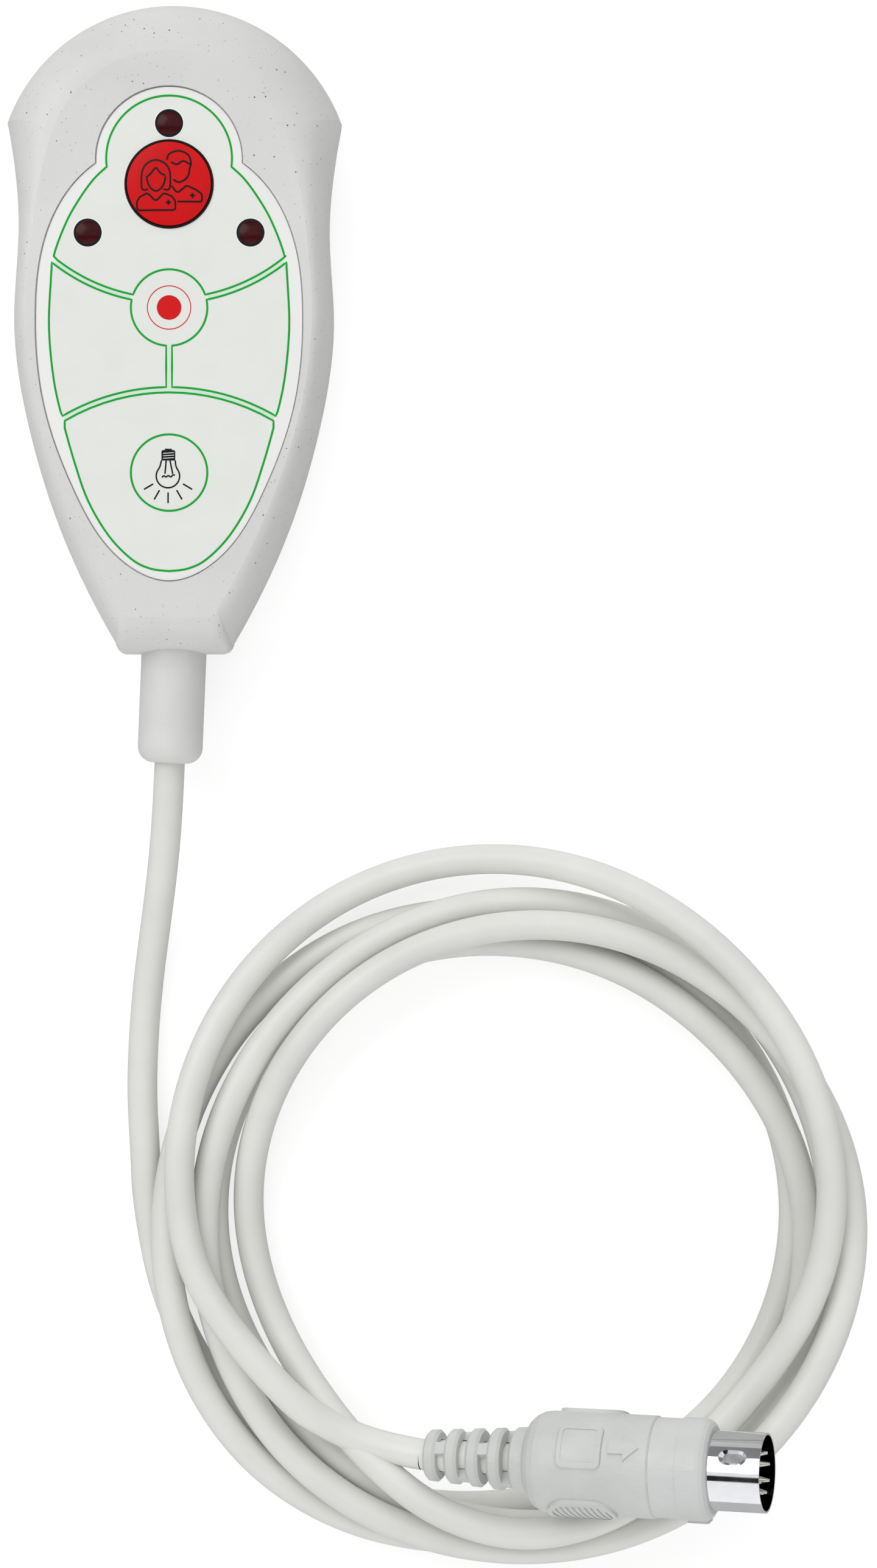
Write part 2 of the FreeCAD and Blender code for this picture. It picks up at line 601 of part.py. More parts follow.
def cord_coil():
    """Outer shape of the loose turns: a ring whose width and height follow them."""
    rounding = [(0.0, 0.12), (0.0, 0.72), (0.22, 1.0), (0.78, 1.0), (1.0, 0.72), (1.0, 0.12),
                (0.85, 0.0), (0.15, 0.0)]
    rings = []
    stations = 24
    for across, up in rounding + rounding[:1]:
        points = []
        for i in range(stations):
            angle = 360 / stations * i
            inner = around(COIL_INNER, angle) + COIL_EDGE
            outer = around(COIL_OUTER, angle) - COIL_EDGE
            r = inner + across * (outer - inner)
            z = max(0.02, up * around(COIL_TALL, angle))
            turn = math.radians(angle)
            points.append(Vector(COIL_CENTRE[0] + r * math.cos(turn),
                                 COIL_CENTRE[1] + r * math.sin(turn), z))
        curve = Part.BSplineCurve()
        curve.interpolate(Points=points, PeriodicFlag=True,
                          Parameters=[k / stations for k in range(stations + 1)])
        rings.append(curve.toShape())
    faces = [Part.makeRuledSurface(a, b) for a, b in zip(rings, rings[1:])]
    skin = Part.Shell([f for s in faces for f in s.Faces])
    skin.sewShape()
    solid = Part.Solid(Part.Shell(skin.Faces))
    if solid.Volume < 0:
        solid.reverse()
    return solid


def plug_placed(shape):
    """Plug pieces are drawn along +X with the pad up, then rolled, raised and laid down."""
    roll = Rotation(Vector(1, 0, 0), -PLUG_ROLL)
    raise_nose = Rotation(Vector(0, 1, 0), -PLUG_PITCH)
    yaw = Rotation(Vector(0, 0, 1), PLUG_YAW)
    moved = shape.copy()
    moved.Placement = Placement(Vector(*PLUG_REAR), yaw.multiply(raise_nose).multiply(roll))
    return moved


def turned(profile):
    """Revolves a profile of (along, radius) points about the plug's axis."""
    points = [Vector(x, 0, r) for x, r in profile]
    face = Part.Face(Part.makePolygon(points + points[:1]))
    return face.revolve(Vector(0, 0, 0), Vector(1, 0, 0), 360)


BODY_FROM = BOOT_LONG
BODY_TO = BODY_FROM + BODY_LONG
LIP_FROM = BODY_TO + COLLAR_LONG
LIP_TO = LIP_FROM + LIP_LONG
SHELL_TO = LIP_TO + SHELL_OUT


def rod(radius, start, end):
    return Part.makeCylinder(radius, end - start, Vector(start, 0, 0), Vector(1, 0, 0))


def slot_places():
    """Start and end of each slot of the strain relief along the plug's axis."""
    starts = [BOOT_FROM + BOOT_END_RING + i * (RING_WIDE + SLOT_WIDE) for i in range(SLOT_COUNT)]
    return [(start, start + SLOT_WIDE) for start in starts]


def boot_slots():
    """Slots of the strain relief: pairs, each pair a quarter turn from the last."""
    slots = []
    for i, (start, end) in enumerate(slot_places()):
        ring = rod(BODY_R, start, end).cut(rod(CABLE_R + BOOT_BORE_GAP, start, end))
        bridge = Part.makeBox(SLOT_WIDE, BRIDGE_WIDE, 2 * BODY_R, Vector(start, -BRIDGE_WIDE / 2, -BODY_R))
        if i % 2:
            bridge.rotate(Vector(0, 0, 0), Vector(1, 0, 0), 90)
        slots.append(ring.cut(bridge))
    return slots


def boot_profile():
    """Tapered boot whose rings are rounded where they meet the slots."""
    def taper(x):
        return BOOT_REAR_R + (BOOT_FRONT_R - BOOT_REAR_R) * (x - BOOT_FROM) / (BODY_FROM - BOOT_FROM)

    profile = [(BOOT_FROM, BOOT_REAR_R - RING_ROUND), (BOOT_FROM + RING_ROUND, taper(BOOT_FROM + RING_ROUND))]
    for start, end in slot_places():
        profile += [(start - RING_ROUND, taper(start - RING_ROUND)), (start, taper(start) - RING_ROUND),
                    (end, taper(end) - RING_ROUND), (end + RING_ROUND, taper(end + RING_ROUND))]
    return profile + [(BODY_FROM, BOOT_FRONT_R)]


def pad_block(inset, top):
    """Square block with round corners over the middle of the pad."""
    pad = Part.makeBox(PAD_LONG - 2 * inset, PAD_WIDE - 2 * inset, top,
                       Vector(BODY_FROM + PAD_AT + inset, inset - PAD_WIDE / 2, 0))
    upright = [e for e in pad.Edges if abs(e.Vertexes[0].Z - e.Vertexes[1].Z) > 1]
    return pad.makeFillet(PAD_CORNER - inset / 2, upright)


def square_pad():
    """Raised square pad with soft edges and a shallow bare panel."""
    pad = pad_block(0, 2 * BODY_R).common(rod(BODY_R + PAD_RISE, BODY_FROM, BODY_TO))
    brow = [e for e in pad.Edges if min(v.Z for v in e.Vertexes) > BODY_R / 2]
    pad = pad.makeFillet(PAD_EDGE, brow)
    panel = pad_block(PAD_RIM, 2 * BODY_R)
    return pad.cut(panel.cut(rod(BODY_R + PAD_RISE - PAD_PANEL_DEEP, BODY_FROM, BODY_TO)))


def arrow():
    x0 = BODY_FROM + ARROW_AT
    x1 = x0 + ARROW_LONG
    neck = x0 + 0.5 * ARROW_LONG
    half = ARROW_WIDE / 2
    stem = ARROW_WIDE / 4
    points = [(x0, -stem), (neck, -stem), (neck, -half), (x1, 0), (neck, half), (neck, stem), (x0, stem)]
    face = Part.Face(Part.makePolygon([Vector(x, y, 0) for x, y in points + points[:1]]))
    return face.extrude(Vector(0, 0, BODY_R + 1)).common(rod(BODY_R + ARROW_RISE, BODY_FROM, BODY_TO))


def stadium(inset):
    """Upright block with round ends over a finger pad."""
    start = BODY_FROM + GRIP_AT + GRIP_WIDE / 2
    end = BODY_FROM + GRIP_AT + GRIP_LONG - GRIP_WIDE / 2
    end_r = GRIP_WIDE / 2 - inset
    shape = Part.makeBox(end - start, 2 * BODY_R, 2 * end_r, Vector(start, 0, -end_r))
    for x in (start, end):
        shape = shape.fuse(Part.makeCylinder(end_r, 2 * BODY_R, Vector(x, 0, 0), Vector(0, 1, 0)))
    return shape


def grip(side):
    """Finger pad on one side of the body: a smooth rim round a field of slanted ribs."""
    x0 = BODY_FROM + GRIP_AT
    field = stadium(GRIP_RIM)
    top = BODY_R + GRIP_RISE
    pad = rod(top, x0, x0 + GRIP_LONG).common(stadium(0))
    pad = pad.cut(field.cut(rod(top - GRIP_FIELD_DEEP, x0, x0 + GRIP_LONG)))
    pitch = GRIP_LONG / GRIP_RIBS
    ridge = rod(top - GRIP_RIB_DEEP, x0, x0 + GRIP_LONG).common(field)
    for i in range(GRIP_RIBS):
        middle = x0 + (i + 0.5) * pitch
        slab = Part.makeBox(pitch / 2, 2 * BODY_R, 2 * GRIP_WIDE, Vector(middle - pitch / 4, 0, -GRIP_WIDE))
        slab.rotate(Vector(middle, 0, 0), Vector(0, 1, 0), -side * GRIP_SLANT)
        rib = slab.common(ridge)
        if rib.Volume > 0:
            pad = pad.fuse(rib)
    if side < 0:
        pad.rotate(Vector(0, 0, 0), Vector(1, 0, 0), 180)
    return pad


def plug_body():
    """Soft moulded body with the slotted boot, pad, arrow and two grips."""
    core_r = CABLE_R + BOOT_BORE_GAP
    rounding = [(BODY_FROM + BODY_ROUND * (1 - math.cos(math.radians(a))),
                 BODY_R - BODY_ROUND * (1 - math.sin(math.radians(a)))) for a in (0, 18, 36, 54, 72, 90)]
    profile = [(BOOT_FROM, core_r)] + boot_profile()
    profile += [(x, r) for x, r in rounding if r > BOOT_FRONT_R]
    profile += [(BODY_TO - BODY_LIP, BODY_R), (BODY_TO, BODY_R - BODY_LIP), (BODY_TO, SPIGOT_R),
                (BODY_TO - SPIGOT_LONG, SPIGOT_R), (BODY_TO - SPIGOT_LONG, core_r)]
    body = turned(profile)
    for slot in boot_slots():
        body = body.cut(slot)
    body = fused([body] + [piece.cut(rod(BODY_R - 1, BODY_FROM, BODY_TO))
                           for piece in (square_pad(), arrow(), grip(1), grip(-1))])
    return plug_placed(body)


def plug_collar():
    """Hard carrier: a spigot inside the body, a step and the front ring with its key tab."""
    bore = SHELL_R - SHELL_STEP
    profile = [(BODY_TO - SPIGOT_LONG, bore), (BODY_TO - SPIGOT_LONG, SPIGOT_R), (BODY_TO, SPIGOT_R),
               (BODY_TO, PLUG_COLLAR_R), (LIP_FROM, PLUG_COLLAR_R), (LIP_FROM, LIP_R)]
    profile += [(LIP_TO - back, LIP_R - drop) for back, drop in LIP_NOSE] + [(LIP_TO, bore)]
    tab_long, tab_wide, tab_rise = KEY_TAB
    tab = Part.makeBox(tab_long, tab_wide, LIP_R + tab_rise,
                       Vector(LIP_FROM + KEY_TAB_AT, -tab_wide / 2, 0))
    tab = tab.cut(rod(LIP_R - 1, LIP_FROM, LIP_TO))
    tab.rotate(Vector(0, 0, 0), Vector(1, 0, 0), KEY_TAB_TURN)
    return plug_placed(turned(profile).fuse(tab).removeSplitter())


def oblong(start, long, wide, z):
    """Outline with round ends that lies along the plug's axis."""
    left, right, half = start + wide / 2, start + long - wide / 2, wide / 2
    return Part.Wire([
        Part.LineSegment(Vector(left, -half, z), Vector(right, -half, z)).toShape(),
        Part.Arc(Vector(right, -half, z), Vector(right + half, 0, z), Vector(right, half, z)).toShape(),
        Part.LineSegment(Vector(right, half, z), Vector(left, half, z)).toShape(),
        Part.Arc(Vector(left, half, z), Vector(left - half, 0, z), Vector(left, -half, z)).toShape()])


def dimple(grow, bottom, top):
    """Pressed form with sloping sides, wider than the dimple by so much all round."""
    start = LIP_TO + DIMPLE_AT
    low = oblong(start + DIMPLE_SLOPE - grow, DIMPLE_LONG - 2 * (DIMPLE_SLOPE - grow),
                 DIMPLE_WIDE - 2 * (DIMPLE_SLOPE - grow), bottom)
    high = oblong(start - grow, DIMPLE_LONG + 2 * grow, DIMPLE_WIDE + 2 * grow, top)
    return Part.makeLoft([low, high], True, True)


def plug_shell():
    """Pressed steel shell, open at the front, narrower inside the carrier, with its dimple."""
    start = LIP_TO - SHELL_IN
    seat_r = SHELL_R - SHELL_STEP
    inner_r = SHELL_R - SHELL_WALL
    shell = rod(SHELL_R, LIP_TO, SHELL_TO).cut(rod(inner_r, LIP_TO, SHELL_TO))
    shell = shell.fuse(rod(seat_r, start, LIP_TO).cut(rod(seat_r - SHELL_WALL, start, LIP_TO)))
    floor = SHELL_R - DIMPLE_DEEP
    lining = dimple(SHELL_WALL, floor - SHELL_WALL, SHELL_R).common(rod(SHELL_R, LIP_TO, SHELL_TO))
    hollow = dimple(0.0, floor, SHELL_R)
    return plug_placed(shell.fuse(lining).cut(hollow).removeSplitter())


def pin_places():
    turns = [(k - (PIN_COUNT - 1) / 2) * PIN_STEP for k in range(PIN_COUNT)]
    return [(PIN_CIRCLE_R * math.sin(math.radians(a)), -PIN_CIRCLE_R * math.cos(math.radians(a)))
            for a in turns]


INSULATOR_FROM = LIP_TO - SHELL_IN + INSULATOR_BACK
INSULATOR_TO = SHELL_TO - INSULATOR_DEEP


def plug_insulator():
    disc = rod(SHELL_R - SHELL_STEP - SHELL_WALL, INSULATOR_FROM, INSULATOR_TO)
    for y, z in pin_places():
        hole = Part.makeCylinder(PIN_R, INSULATOR_TO - INSULATOR_FROM, Vector(INSULATOR_FROM, y, z),
                                 Vector(1, 0, 0))
        disc = disc.cut(hole)
    return plug_placed(disc)


def contact_pins():
    pins = []
    start = INSULATOR_FROM - PIN_TAIL
    long = SHELL_TO - PIN_SHORT - start
    for y, z in pin_places():
        pin = Part.makeCylinder(PIN_R, long - PIN_TIP_LONG, Vector(start, y, z), Vector(1, 0, 0))
        tip = Part.makeCone(PIN_R, PIN_TIP_R, PIN_TIP_LONG, Vector(start + long - PIN_TIP_LONG, y, z),
                            Vector(1, 0, 0))
        pins.append(pin.fuse(tip))
    return plug_placed(Part.makeCompound(pins))


def plug_cable():
    """Cable's end inside the boot, seen through its slots."""
    return plug_placed(rod(CABLE_R, 0, BODY_TO - SPIGOT_LONG))


node("front_shell", front_shell())
node("rear_shell", rear_shell())
node("housing_seal", housing_seal())
node("housing_screws", housing_screws())
node("keypad_overlay", keypad_overlay())
node("call_button", call_button())
node("call_button_seal", call_button_seal())
node("call_switch", switch_case(0, CALL_Y))
node("call_plunger", switch_plunger(0, CALL_Y))
for key_name, (key_x, key_y) in KEYS.items():
    node(key_name + "_key", touch_key(key_x, key_y))
    node(key_name + "_switch", switch_case(key_x, key_y))
    node(key_name + "_plunger", switch_plunger(key_x, key_y))
for lens_name, (lens_x, lens_y) in LENSES.items():
    node("indicator_lens_" + lens_name, lens(lens_x, lens_y))
    node("indicator_led_" + lens_name, indicator_led(lens_x, lens_y))
node("circuit_board", circuit_board())
node("board_screws", board_screws())
node("cable_connector", cable_connector())
node("cable_wires", cable_wires())
node("cable_clamp", cable_clamp())
node("clamp_screws", clamp_screws())
node("cable_sleeve", cable_sleeve())
node("cable_entry", cable_entry())
node("cord_lead", cord_tube("cord_lead", LEAD_ROUTE, CABLE_R))
node("cord_coil", cord_coil())
node("cord_tail", cord_tube("cord_tail", TAIL_ROUTE, CABLE_R))
node("plug_body", plug_body())
node("plug_cable", plug_cable())
node("plug_collar", plug_collar())
node("plug_shell", plug_shell())
node("plug_insulator", plug_insulator())
node("contact_pins", contact_pins())
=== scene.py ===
import bpy
import math
import bmesh
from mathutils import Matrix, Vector


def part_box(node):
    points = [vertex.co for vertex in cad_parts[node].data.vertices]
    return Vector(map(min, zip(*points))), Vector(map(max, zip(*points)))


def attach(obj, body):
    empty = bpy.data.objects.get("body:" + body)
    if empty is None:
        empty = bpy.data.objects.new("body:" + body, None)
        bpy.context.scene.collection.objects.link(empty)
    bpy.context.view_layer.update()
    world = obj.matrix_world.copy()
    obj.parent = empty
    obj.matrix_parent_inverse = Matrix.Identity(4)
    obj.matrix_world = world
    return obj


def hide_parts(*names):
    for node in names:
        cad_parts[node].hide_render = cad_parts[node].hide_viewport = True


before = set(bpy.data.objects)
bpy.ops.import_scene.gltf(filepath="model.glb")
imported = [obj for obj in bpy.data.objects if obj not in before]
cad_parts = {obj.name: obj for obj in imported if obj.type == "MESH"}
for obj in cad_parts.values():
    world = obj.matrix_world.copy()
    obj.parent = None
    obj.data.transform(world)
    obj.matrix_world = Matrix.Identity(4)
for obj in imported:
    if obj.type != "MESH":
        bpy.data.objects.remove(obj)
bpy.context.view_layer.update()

# Studio: the handset lies on a white sweep and is taken from straight above, half a metre up.
# One soft box stands at the upper left, and the room round it gives most of the light.
scene = bpy.context.scene
scene.view_settings.view_transform = "Standard"

CAMERA_AT = (0.0460, -0.0791, 0.5285)
FOCAL_MM, SENSOR_MM = 67.785, 36.0

camera_data = bpy.data.cameras.new("camera")
camera_data.sensor_fit = "VERTICAL"
camera_data.sensor_height = SENSOR_MM
camera_data.lens = FOCAL_MM
camera = bpy.data.objects.new("camera", camera_data)
camera.location = CAMERA_AT
scene.collection.objects.link(camera)
scene.camera = camera


def new_material(name):
    """A node material with its Principled shader, and short ways to add and join nodes."""
    material = bpy.data.materials.new(name)
    material.use_nodes = True
    nodes = material.node_tree.nodes
    shader = nodes["Principled BSDF"]

    def add(kind, **settings):
        made = nodes.new(kind)
        for key, value in settings.items():
            if key in made.inputs.keys():
                made.inputs[key].default_value = value
            else:
                setattr(made, key, value)
        return made

    return material, shader, add, material.node_tree.links.new


def srgb(red, green, blue):
    """A colour as a picture editor gives it, 0 to 255, made linear for a shader."""
    def linear(part):
        part /= 255
        return part / 12.92 if part <= 0.04045 else ((part + 0.055) / 1.055) ** 2.4
    return (linear(red), linear(green), linear(blue), 1.0)


def area_light(name, at, target, size, watts):
    light = bpy.data.lights.new(name, "AREA")
    light.shape = "RECTANGLE"
    light.size, light.size_y = size
    light.energy = watts
    lamp = bpy.data.objects.new(name, light)
    lamp.location = at
    aim = Vector(target) - Vector(at)
    lamp.rotation_euler = aim.to_track_quat("-Z", "Y").to_euler()
    scene.collection.objects.link(lamp)
    return lamp


KEY_AT, KEY_AIM, KEY_SIZE, KEY_WATTS = (-1.1, 0.85, 1.45), (0.03, -0.06, 0.0), (1.3, 1.3), 12.5
area_light("key_box", KEY_AT, KEY_AIM, KEY_SIZE, KEY_WATTS)

# The room is bright overhead and at both ends, and dim at both sides. What mirrors it sees a
# white ceiling that ends beyond the far end, with the dark camera stand as a strip overhead.
ROOM_BASE, ROOM_LEAST = 0.09, 0.02
ROOM_RIGHT, ROOM_SIDES, ROOM_OVERHEAD, ROOM_ENDS = 0.10, -1.0, 0.55, 1.72
# Slopes seen in the mirror, as distance along the table for each metre up
STAND_FROM, STAND_TO, STAND_DARK = -0.384, -0.052, 0.02
CEILING_TO, CEILING_GONE, CEILING_WHITE, CEILING_DIM = 0.95, 1.15, 0.95, 0.28
NEAR_END_GAIN = 0.15
world = bpy.data.worlds.new("studio_room")
scene.world = world
world.use_nodes = True
room = world.node_tree
room.nodes.clear()


def room_math(operation, first, second=0.0):
    made = room.nodes.new("ShaderNodeMath")
    made.operation = operation
    for socket, value in zip(made.inputs, (first, second)):
        if isinstance(value, (int, float)):
            socket.default_value = value
        else:
            room.links.new(value, socket)
    return made.outputs["Value"]


def room_range(value, ends, levels, smooth="LINEAR"):
    made = room.nodes.new("ShaderNodeMapRange")
    made.interpolation_type = smooth
    room.links.new(value, made.inputs["Value"])
    for name, setting in zip(("From Min", "From Max", "To Min", "To Max"), (*ends, *levels)):
        made.inputs[name].default_value = setting
    return made.outputs["Result"]


way = room.nodes.new("ShaderNodeTexCoord")
split = room.nodes.new("ShaderNodeSeparateXYZ")
room.links.new(way.outputs["Generated"], split.inputs["Vector"])
way_x, way_y, way_z = split.outputs
soft_light = ROOM_BASE
for share, part in ((ROOM_RIGHT, way_x), (ROOM_SIDES, room_math("ABSOLUTE", way_x)),
                    (ROOM_OVERHEAD, way_z), (ROOM_ENDS, room_math("ABSOLUTE", way_y))):
    soft_light = room_math("ADD", room_math("MULTIPLY", part, share), soft_light)
soft_light = room_math("MAXIMUM", soft_light, ROOM_LEAST)

beside = room_math("DIVIDE", way_y, room_math("MAXIMUM", way_z, 0.001))
off_stand = room_math("ABSOLUTE", room_math("SUBTRACT", beside, (STAND_FROM + STAND_TO) / 2))
stand_half = (STAND_TO - STAND_FROM) / 2
open_sky = room_range(off_stand, (stand_half * 0.8, stand_half * 1.15), (STAND_DARK, 1.0), "SMOOTHSTEP")
ceiling = room_range(beside, (CEILING_TO, CEILING_GONE), (CEILING_WHITE, CEILING_DIM))
mirrored = room_math("SUBTRACT", 1.0, room_math("MULTIPLY", way_y, NEAR_END_GAIN))
mirrored = room_math("MULTIPLY", room_math("MULTIPLY", mirrored, ceiling), open_sky)


def room_choice(share, first, second):
    """The second value where the share is 1, else the first."""
    return room_math("ADD", room_math("MULTIPLY", share, second),
                     room_math("MULTIPLY", room_math("SUBTRACT", 1.0, share), first))


seen_by = room.nodes.new("ShaderNodeLightPath").outputs
plain_white = room_math("MAXIMUM", seen_by["Is Camera Ray"], seen_by["Is Transmission Ray"])
sky = room.nodes.new("ShaderNodeBackground")
sky.inputs["Color"].default_value = (1.0, 1.0, 1.0, 1.0)
room.links.new(room_choice(plain_white, room_choice(seen_by["Is Glossy Ray"], soft_light, mirrored), 1.0),
               sky.inputs["Strength"])
room_out = room.nodes.new("ShaderNodeOutputWorld")
room.links.new(sky.outputs["Background"], room_out.inputs["Surface"])

# The floor is a white sweep that glows a little, so that it lights the object from below as a
# light table does. The camera sees it lifted to white, with the object's soft shadow.
FLOOR_HALF, FLOOR_Z = 1.5, -0.0002
FLOOR_SHARE, FLOOR_LIFT, SEEN_LIFT, MIRRORED_LIFT = 0.5, 0.32, 0.32, -0.24
floor_mesh = bpy.data.meshes.new("floor")
floor_mesh.from_pydata([(-FLOOR_HALF, -FLOOR_HALF, 0), (FLOOR_HALF, -FLOOR_HALF, 0),
                        (FLOOR_HALF, FLOOR_HALF, 0), (-FLOOR_HALF, FLOOR_HALF, 0)], [], [(0, 1, 2, 3)])
floor = bpy.data.objects.new("floor", floor_mesh)
floor.location = (0.0, 0.0, FLOOR_Z)
scene.collection.objects.link(floor)
floor_paint, shader, add, join = new_material("floor_white")
shader.inputs["Base Color"].default_value = (FLOOR_SHARE, FLOOR_SHARE, FLOOR_SHARE, 1.0)
shader.inputs["Roughness"].default_value = 0.9
shader.inputs["Specular IOR Level"].default_value = 0.0
shader.inputs["Emission Color"].default_value = (1.0, 1.0, 1.0, 1.0)
seen_by = add("ShaderNodeLightPath")
mirrored_lift = add("ShaderNodeMath", operation="MULTIPLY_ADD")
join(seen_by.outputs["Is Glossy Ray"], mirrored_lift.inputs[0])
lift = add("ShaderNodeMath", operation="MULTIPLY_ADD")
join(seen_by.outputs["Is Camera Ray"], lift.inputs[0])
for part, share, start in ((mirrored_lift, MIRRORED_LIFT, FLOOR_LIFT), (lift, SEEN_LIFT, FLOOR_LIFT)):
    part.inputs[1].default_value = share
    part.inputs[2].default_value = start
join(mirrored_lift.outputs["Value"], lift.inputs[2])
join(lift.outputs["Value"], shader.inputs["Emission Strength"])
floor_mesh.materials.append(floor_paint)

# Cable: one length of soft light grey jacket, 5.3 mm across and about 1.9 m long. It leaves the
# sleeve at the housing's foot, drops to the table and lies in five loose turns that rest on
# each other, then runs up into the plug's slotted boot.
CABLE_R = 0.00265
CABLE_SPACING = 0.0054
CABLE_FLOOR = 0.0027
LEAD_ROUTE = [(-0.00096, -0.07543, 0.0125), (-0.00132, -0.0844, 0.0125), (-0.0025, -0.0945, 0.0094),
              (-0.0041, -0.1040, 0.0052), (-0.0056, -0.1138, 0.0029), (-0.0065, -0.1240, 0.00275),
              (-0.0068, -0.1345, 0.00275), (-0.0062, -0.1445, 0.00275)]
TAIL_ROUTE = [(0.0200, -0.1862, 0.0155), (0.0276, -0.1915, 0.0130), (0.0356, -0.1948, 0.0132),
              (0.04335, -0.1955, 0.0160)]
COIL_CENTRE = (0.0599, -0.1536)
# Distance of each turn from the coil's centre in mm, every 45 degrees from the side of the lead
TURNS = [(65.2, 61.0, 53.4, 50.9, 49.3, 48.9, 51.2, 57.3),
         (61.8, 64.3, 59.0, 55.8, 50.8, 45.8, 46.4, 51.2),
         (54.0, 54.1, 56.0, 57.5, 55.2, 53.9, 53.7, 52.7),
         (55.1, 58.5, 58.8, 58.2, 57.8, 53.0, 49.7, 48.0),
         (47.6, 47.9, 55.4, 50.7, 53.6, 56.5, 61.2, 62.6),
         (58.9, 52.0, 46.0)]
TURN_STEP = 5
TURN_END = 205
POINT_EVERY = 3
# A control point of the smooth line stands this much further out than the line itself
POINT_SHARE = 0.9915
# A turn that crosses others comes down again at this slope, from a short level stretch
MEAN_TURN_R = 0.052
FALL_SLOPE, LEVEL_STEPS, FALL_STEPS = 0.25, 2, 24


def turn_radius(angle):
    """Distance from the coil's centre after so many degrees of winding, smooth between stations."""
    stations = [r / 1000 for turn in TURNS for r in turn]
    place = angle / 45
    i = min(int(place), len(stations) - 2)
    t = place - i
    a, b, c, d = (stations[min(max(i + k, 0), len(stations) - 1)] for k in (-1, 0, 1, 2))
    return 0.5 * (2 * b + (c - a) * t + (2 * a - 5 * b + 4 * c - d) * t ** 2
                  + (3 * b - a - 3 * c + d) * t ** 3)


def laid_turns():
    """Points of the loose turns. Each rests on the turns under it, and the cable is stiff, so it
    comes down from a crossing slowly."""
    count = (360 * (len(TURNS) - 1) + TURN_END - 180) // TURN_STEP + 1
    flat = []
    for i in range(count):
        turn = math.radians(180 + i * TURN_STEP)
        r = turn_radius(i * TURN_STEP)
        flat.append((COIL_CENTRE[0] + r * math.cos(turn), COIL_CENTRE[1] + r * math.sin(turn)))
    under = [[] for _ in flat]
    for i, here in enumerate(flat):
        for j in range(i - 180 // TURN_STEP):
            apart = math.dist(here, flat[j])
            if apart < CABLE_SPACING:
                under[i].append((j, math.sqrt(CABLE_SPACING ** 2 - apart ** 2)))
    fall = FALL_SLOPE * MEAN_TURN_R * math.radians(TURN_STEP)
    heights = [CABLE_FLOOR] * count
    for _ in TURNS:
        need = [max([CABLE_FLOOR] + [heights[j] + rise for j, rise in below]) for below in under]
        held = []
        for i in range(count):
            span = range(max(0, i - FALL_STEPS), min(count, i + FALL_STEPS + 1))
            held.append(max(need[j] - fall * max(0, abs(j - i) - LEVEL_STEPS) for j in span))
        heights = []
        for i in range(count):
            steps = range(-LEVEL_STEPS, LEVEL_STEPS + 1)
            near = [held[min(max(i + k, 0), count - 1)] for k in steps]
            heights.append(sum(near) / len(near))
    return [(COIL_CENTRE[0] + (x - COIL_CENTRE[0]) / POINT_SHARE,
             COIL_CENTRE[1] + (y - COIL_CENTRE[1]) / POINT_SHARE, z)
            for (x, y), z in list(zip(flat, heights))[::POINT_EVERY]]


cable_points = LEAD_ROUTE + laid_turns() + TAIL_ROUTE
cable_curve = bpy.data.curves.new("cable", "CURVE")
cable_curve.dimensions = "3D"
cable_curve.bevel_depth = CABLE_R
cable_curve.bevel_resolution = 5
cable_curve.resolution_u = 8
cable_line = cable_curve.splines.new("NURBS")
cable_line.points.add(len(cable_points) - 1)
for point, place in zip(cable_line.points, cable_points):
    point.co = (*place, 1.0)
cable_line.order_u = 3
cable_line.use_endpoint_u = True
cable_line.use_smooth = True
cable = bpy.data.objects.new("cable", cable_curve)
scene.collection.objects.link(cable)


def ranged(add, join, value, from_min, from_max, to_min=0.0, to_max=1.0):
    """A value taken from one range to another and held at its ends."""
    made = add("ShaderNodeMapRange")
    ends = {"From Min": from_min, "From Max": from_max, "To Min": to_min, "To Max": to_max}
    for name, setting in ends.items():
        made.inputs[name].default_value = setting
    join(value, made.inputs["Value"])
    return made.outputs["Result"]


def tinted(add, join, share, first, second):
    """A colour between two, either of them a plain colour or another node's output."""
    made = add("ShaderNodeMix", data_type="RGBA")
    factor, colour_a, colour_b = (made.inputs[i] for i in (0, 6, 7))
    join(share, factor)
    for socket, colour in ((colour_a, first), (colour_b, second)):
        if isinstance(colour, tuple):
            socket.default_value = colour
        else:
            join(colour, socket)
    return made.outputs[2]


def drifting(add, join, place, scale, first, second, low=0.35, high=0.7, detail=3.0, roughness=0.5):
    """A colour that drifts slowly between two."""
    drift = add("ShaderNodeTexNoise", Scale=scale, Detail=detail, Roughness=roughness)
    join(place, drift.inputs["Vector"])
    return tinted(add, join, ranged(add, join, drift.outputs["Fac"], low, high), first, second)


def grained(add, join, shader, place, scale, depth, roughness, spread=0.06):
    """Fine grain of a moulded face: it varies the gloss and raises a low bump."""
    fine = add("ShaderNodeTexNoise", Scale=scale, Detail=2.0)
    join(place, fine.inputs["Vector"])
    join(ranged(add, join, fine.outputs["Fac"], 0.3, 0.7, roughness - spread, roughness + spread),
         shader.inputs["Roughness"])
    bump = add("ShaderNodeBump", Distance=depth)
    join(fine.outputs["Fac"], bump.inputs["Height"])
    join(bump.outputs["Normal"], shader.inputs["Normal"])


def moulded(name, colour, shade, roughness, blotch=45, grain=900, grain_depth=0.00002, specular=0.5):
    """Plain moulded plastic: its colour drifts slowly towards a shade, with a fine grain."""
    material, shader, add, join = new_material(name)
    shader.inputs["Specular IOR Level"].default_value = specular
    place = add("ShaderNodeTexCoord").outputs["Object"]
    join(drifting(add, join, place, blotch, colour, shade, roughness=0.6), shader.inputs["Base Color"])
    grained(add, join, shader, place, grain, grain_depth, roughness)
    return material


